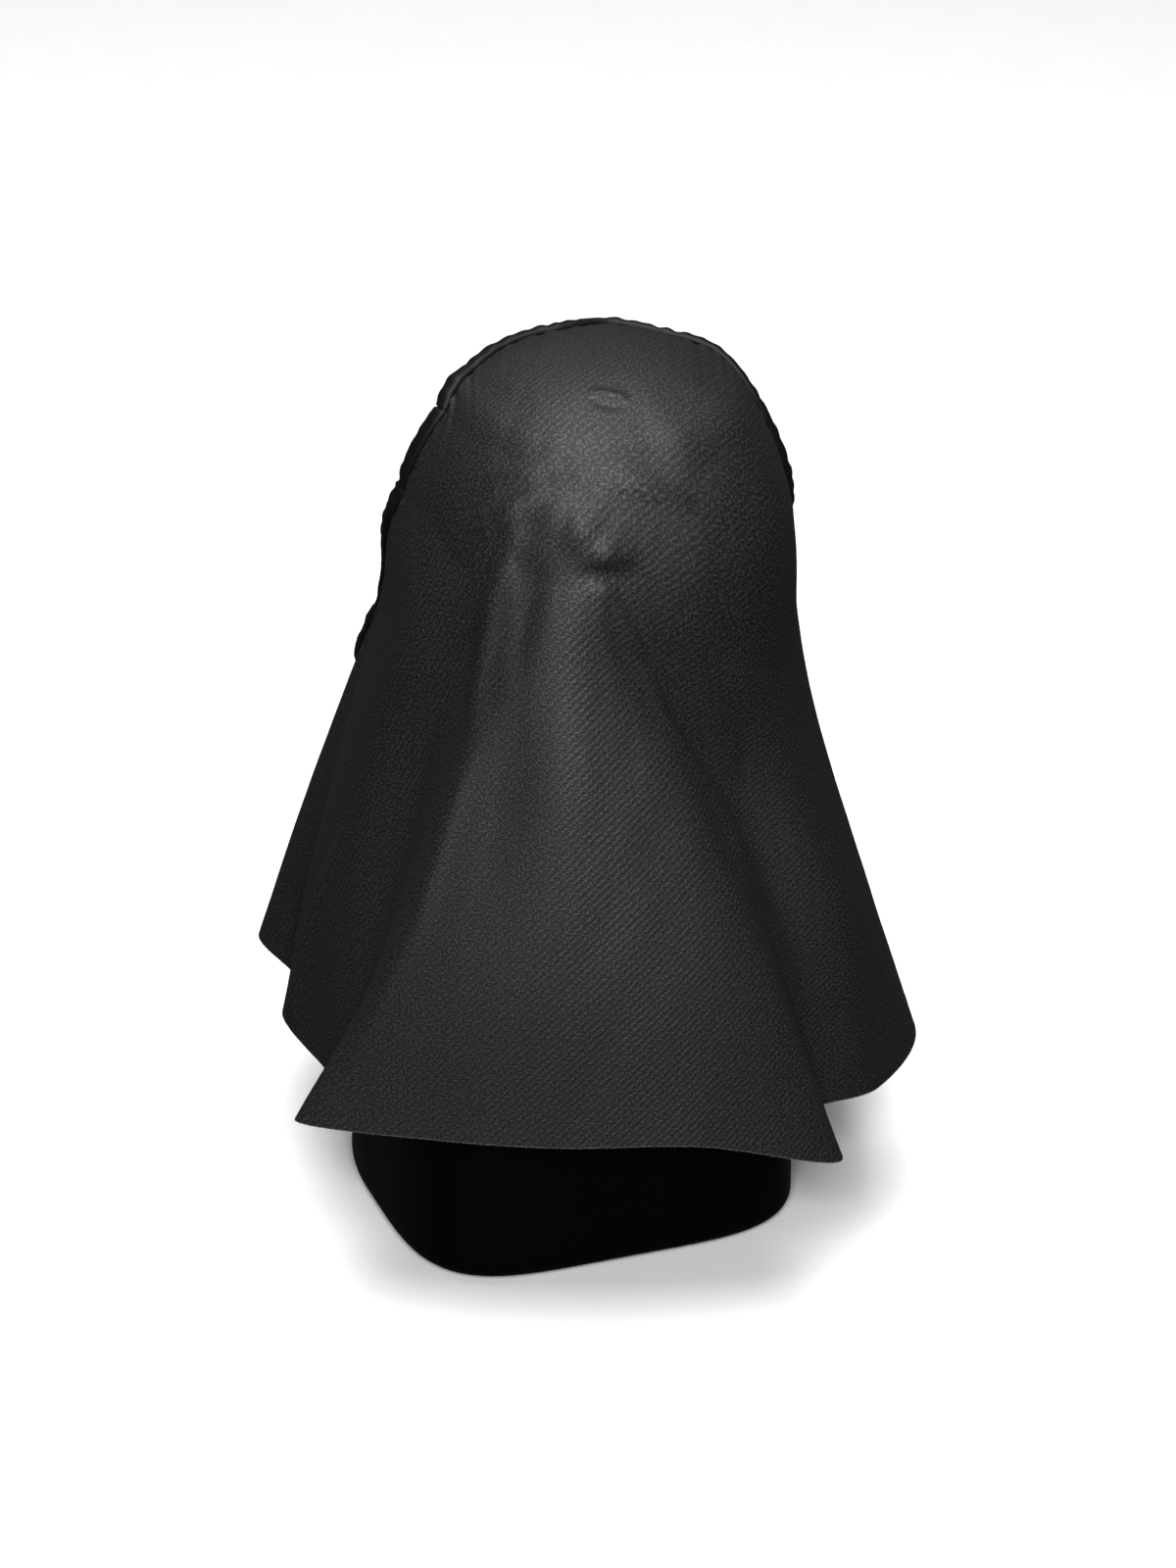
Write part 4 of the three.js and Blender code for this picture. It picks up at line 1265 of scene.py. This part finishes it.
@dataclass
class Closure:
    """The front closure: a flap sewn along its right edge and held by press studs on its left."""

    finishes: Finishes
    left: float = -21.0
    hinge: float = 20.0
    length: float = 118.0
    thickness: float = 1.2
    corner: float = 6.0
    middle_z: float = 141.0
    foot: float = 4.7
    seam_width: float = 8.0
    snap_x: float = -12.0
    snap_pitch: float = 40.0
    snap_count: int = 3

    def place(self, local: Array) -> Array:
        """Places points of the closure, X to the side, Y out of the cloth and Z up it, in metres."""
        lean = math.atan(FRONT_SLOPE)
        x, y, z = np.moveaxis(np.asarray(local, float), -1, 0)
        ahead = y * math.cos(lean) - z * math.sin(lean) + front_y(self.middle_z)
        up = y * math.sin(lean) + z * math.cos(lean) + self.middle_z
        return np.stack([x, ahead, up], -1) * MM

    def build(self) -> None:
        """Builds the flap, its seam, its stitches, the label and the press studs."""
        self._flap()
        self._seam()
        self._label()
        for index in range(self.snap_count):
            self._snap(index)

    def _rounded(self, u: Array, v: Array) -> tuple[Array, Array]:
        """Rounds the two free corners of a rectangle given by shares across and up."""
        x = self.left + (self.hinge - self.left) * u
        half = self.length / 2
        z = -half + self.length * v
        near = np.clip((self.corner - (x - self.left)) / self.corner, 0, 1)
        shrink = self.corner * (1 - np.sqrt(1 - near**2))
        return x, z * (half - shrink) / half

    def _flap(self) -> None:
        """Builds the flap as two layers of twill with a rolled edge, soft between its studs."""
        across, up = 48, 110
        u, v = np.meshgrid(np.linspace(0, 1, across + 1), np.linspace(0, 1, up + 1), indexing="ij")
        x, z = self._rounded(u, v)
        edge = np.minimum(np.minimum(x - self.left, self.length / 2 - np.abs(z)), self.corner) / self.corner
        half = self.thickness / 2 * (0.35 + 0.65 * np.sqrt(np.clip(1 - (1 - edge) ** 2, 0, 1)))
        buckle = 0.25 * np.cos(z * 2 * math.pi / self.snap_pitch) * (1 - u)
        middle = self.foot + self.thickness / 2 + 0.2 * (1 - u) + np.minimum(buckle, 0.2)
        layers = [np.stack([x, middle + side * half, z], -1).reshape(-1, 3) for side in (1, -1)]
        points = np.concatenate(layers)
        faces = sheet_faces(*x.shape).tolist()
        uv = np.tile(np.stack([x, z], -1).reshape(-1, 2) * MM, (2, 1))
        placed = self.place(points)
        piece = mesh_object("front_flap", placed, faces_out(placed, faces), self.finishes.twill, uv)
        store(piece.data, "hem_distance", np.full(len(points), 1.0))
        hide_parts("closure_flap")
        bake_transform(piece)
        LOG.info("front_flap: %d faces, blended over its seam", len(piece.data.polygons))
        self._flap_stitches()

    def _flap_stitches(self) -> None:
        """Sews round the flap's free edges, 3 mm in."""
        inset = 3.0
        half = self.length / 2 - inset
        left, right = self.left + inset, self.hinge - self.seam_width
        turn = np.linspace(0, math.pi / 2, 7)
        radius = self.corner - inset
        top = np.stack([left + radius * (1 - np.sin(turn)), half - radius * (1 - np.cos(turn))], -1)
        low = top[::-1] * (1, -1)
        line = np.vstack([[right, half], top, low, [right, -half]])
        height = np.full(len(line), self.foot + self.thickness + 0.35)
        path = self.place(np.stack([line[:, 0], height, line[:, 1]], -1))
        values = {"Pitch": 3.2 * MM, "Length": 2.4 * MM, "Thread": 0.28 * MM}
        piece = grow_on_path("flap_stitches", stitch_tree(self.finishes.thread), path, values)
        seat(piece, Body.FLAP, Slot.BINDING)

    def _seam(self) -> None:
        """Builds the folded seam tape that carries the flap."""
        foot, top = 1.1, 4.4
        turn = np.linspace(0, 2 * math.pi, 24, endpoint=False)
        u = np.sign(np.cos(turn)) * np.abs(np.cos(turn)) ** 0.5 * self.seam_width / 2
        v = np.sign(np.sin(turn)) * np.abs(np.sin(turn)) ** 0.6 * (top - foot) / 2
        heights = np.linspace(-self.length / 2, self.length / 2, 80)
        sway = 0.12 * np.sin(heights / 7.0)
        x = self.hinge - self.seam_width / 2 + u[None] + sway[:, None]
        y = (foot + top) / 2 + v[None] * (1 + 0.04 * np.sin(heights / 3.0))[:, None]
        rings = np.stack(np.broadcast_arrays(x, y, heights[:, None]), -1)
        points, faces = loft(rings)
        placed = self.place(points)
        uv = np.stack([points[:, 0] + points[:, 1], points[:, 2]], -1) * MM
        piece = mesh_object("flap_seam_tape", placed, faces_out(placed, faces), self.finishes.binding, uv)
        seat(piece, Body.CAPE, Slot.BINDING, "flap_seam")

    def _label(self) -> None:
        """Builds the blank satin label inside the front, sewn at its top edge."""
        width, length, thickness = 20.0, 30.0, 0.3
        x_middle, foot, rise = 14.0, -1.4, 25.0
        u, v = np.meshgrid(np.linspace(-1, 1, 25), np.linspace(-1, 1, 37), indexing="ij")
        wave = 0.12 * np.sin(u * 2.4) * (1 - v) / 2
        x, z = x_middle + u * width / 2, rise + v * length / 2
        half = thickness / 2
        layers = [np.stack([x, foot + wave + side * half, z], -1).reshape(-1, 3) for side in (1, -1)]
        points = np.concatenate(layers)
        faces = sheet_faces(*u.shape).tolist()
        placed = self.place(points)
        piece = mesh_object("satin_label", placed, faces_out(placed, faces), self.finishes.label)
        seat(piece, Body.CAPE, Slot.LABEL, "care_label")

    def _snap(self, index: int) -> None:
        """Builds one press stud of four turned pieces."""
        rise = (index - (self.snap_count - 1) / 2) * self.snap_pitch
        number = index + 1
        for name, (body, profile) in STUD_PROFILES.items():
            piece = self._turned(f"press_{name}_{number}", profile, rise)
            seat(piece, body, Slot.METAL, f"snap_{name}_{number}")

    def _turned(self, name: str, profile: tuple[tuple[float, float], ...], rise: float) -> bpy.types.Object:
        """Turns a profile about the stud's axis into a closed mesh.

        Args:
            name: The piece's name.
            profile: Its (radius, height) points.
            rise: How far up the flap the stud sits.

        Returns:
            The piece.
        """
        steps = 40
        closed = profile[0] == profile[-1]
        body = profile[:-1] if closed else profile[1:-1]
        turn = np.linspace(0, 2 * math.pi, steps, endpoint=False)
        rings = np.array([[(r * math.cos(t), h, r * math.sin(t)) for t in turn] for r, h in body])
        points, faces = loft(rings, loop=closed)
        if not closed:
            points[-2] = (0, profile[0][1], 0)
            points[-1] = (0, profile[-1][1], 0)
        placed = self.place(points + np.array([self.snap_x, 0, rise]))
        return mesh_object(name, placed, faces_out(placed, faces), self.finishes.metal)


# ---- Display form ---------------------------------------------------------------------------------


@dataclass
class DisplayForm:
    """The plain black form that the cape stands on, with its felt pad."""

    shape: FormShape
    finishes: Finishes
    steps: int = 160

    def build(self) -> None:
        """Builds the form and its pad."""
        self._form()
        self._pad()

    def _form(self) -> None:
        """Builds the moulded form with a rounded foot and a smooth dome."""
        shape = self.shape
        angle = np.linspace(0, 2 * math.pi, self.steps, endpoint=False)
        bottom = shape.pad_thickness + shape.fit_gap
        rings = []
        for turn in np.radians(np.linspace(0, 90, 9)):
            inset = shape.base_round * (1 - math.sin(turn))
            z = bottom + shape.base_round * (1 - math.cos(turn))
            rings.append(shape.wall_point(angle, z, inset))
        for z in np.linspace(bottom + shape.base_round, shape.wall_height, 40)[1:]:
            rings.append(shape.wall_point(angle, z))
        for turn in np.radians(np.linspace(90, 2, 34))[1:]:
            rings.append(shape.dome_point(angle, math.sin(turn), 0.0))
        points, faces = loft(np.array(rings))
        piece = mesh_object("display_form", points * MM, faces_out(points, faces), self.finishes.plastic)
        seat(piece, Body.DISPLAY, Slot.PLASTIC, "head_form")

    def _pad(self) -> None:
        """Builds the felt pad under the form, with a soft cut edge."""
        shape = self.shape
        angle = np.linspace(0, 2 * math.pi, self.steps, endpoint=False)
        radius = shape.outline(angle, shape.foot) - shape.pad_inset
        thickness = shape.pad_thickness
        levels = [(0.3, 0.0), (0.0, 0.4), (0.0, thickness - 0.4), (0.3, thickness)]
        rings = np.array([around_axis(angle, radius - inset, z, shape.foot.aside) for inset, z in levels])
        points, faces = loft(rings)
        piece = mesh_object("felt_pad", points * MM, faces_out(points, faces), self.finishes.felt)
        seat(piece, Body.DISPLAY, Slot.FELT, "base_pad")


# ---- Studio ---------------------------------------------------------------------------------------


@dataclass
class Studio:
    """Pale floor, soft lights and the camera behind and above the cape."""

    finishes: Finishes
    target: tuple[float, float, float] = (0.0, 0.0, 0.197)
    distance: float = 3.0
    lens: float = 155.0
    turn: float = -20.0
    rise: float = 27.0
    aside: float = 4.35 * MM

    def build(self) -> None:
        """Builds the floor, the world, the lights and the camera."""
        self._floor()
        self._world()
        self._light("key", (-1.007, -2.767, 1.897), 0.8, 118.0)
        self._light("overhead", (-0.2, -0.5, 2.9), 1.9, 92.0)
        self._light("back_overhead", (0.0, 0.6, 2.6), 2.2, 24.0)
        self._camera()

    def _floor(self) -> None:
        """Lays a wide plain floor."""
        half = 9.0
        corners = [(-half, -half, 0), (half, -half, 0), (half, half, 0), (-half, half, 0)]
        floor = mesh_object("floor", np.array(corners, float), [[0, 1, 2, 3]], self.finishes.floor)
        floor.visible_diffuse = False  # its own light is kept off the black cloth, as flags do in a studio
        floor.visible_glossy = False

    def _world(self) -> None:
        """Sets a pale even surround."""
        world = bpy.data.worlds.new("studio_surround")
        world.use_nodes = True
        background = world.node_tree.nodes["Background"]
        background.inputs[0].default_value = linear("#FFFFFF")
        background.inputs[1].default_value = 0.05
        bpy.context.scene.world = world
        bpy.context.scene.view_settings.view_transform = "Standard"

    def _light(self, name: str, place: tuple[float, float, float], size: float, power: float) -> None:
        """Hangs a square softbox that faces the cape."""
        data = bpy.data.lights.new(name, "AREA")
        data.size = size
        data.energy = power
        light = bpy.data.objects.new(name, data)
        light.location = place
        way = Vector(self.target) - Vector(place)
        light.rotation_mode = "QUATERNION"
        light.rotation_quaternion = way.to_track_quat("-Z", "Y")
        bpy.context.scene.collection.objects.link(light)

    def _camera(self) -> None:
        """Sets the camera at its turn and rise round the target."""
        turn, rise = math.radians(self.turn), math.radians(self.rise)
        back = Vector((math.sin(turn) * math.cos(rise), -math.cos(turn) * math.cos(rise), math.sin(rise)))
        right = Vector((math.cos(turn), math.sin(turn), 0))
        data = bpy.data.cameras.new("camera")
        data.lens = self.lens
        camera = bpy.data.objects.new("camera", data)
        camera.location = Vector(self.target) + back * self.distance + right * self.aside
        camera.rotation_mode = "QUATERNION"
        camera.rotation_quaternion = (-back).to_track_quat("-Z", "Y")
        bpy.context.scene.collection.objects.link(camera)
        bpy.context.scene.camera = camera


def main() -> None:
    """Builds the whole scene."""
    logging.basicConfig(level=logging.INFO, format="%(name)s: %(message)s")
    finishes = Finishes()
    Studio(finishes).build()
    shape = FormShape()
    panel = CapePanel(Drape(shape), finishes)
    panel.build()
    RimCasing(panel, finishes).build()
    RawHem(panel, finishes).build()
    Closure(finishes).build()
    DisplayForm(shape, finishes).build()


if __name__ == "__main__":
    main()
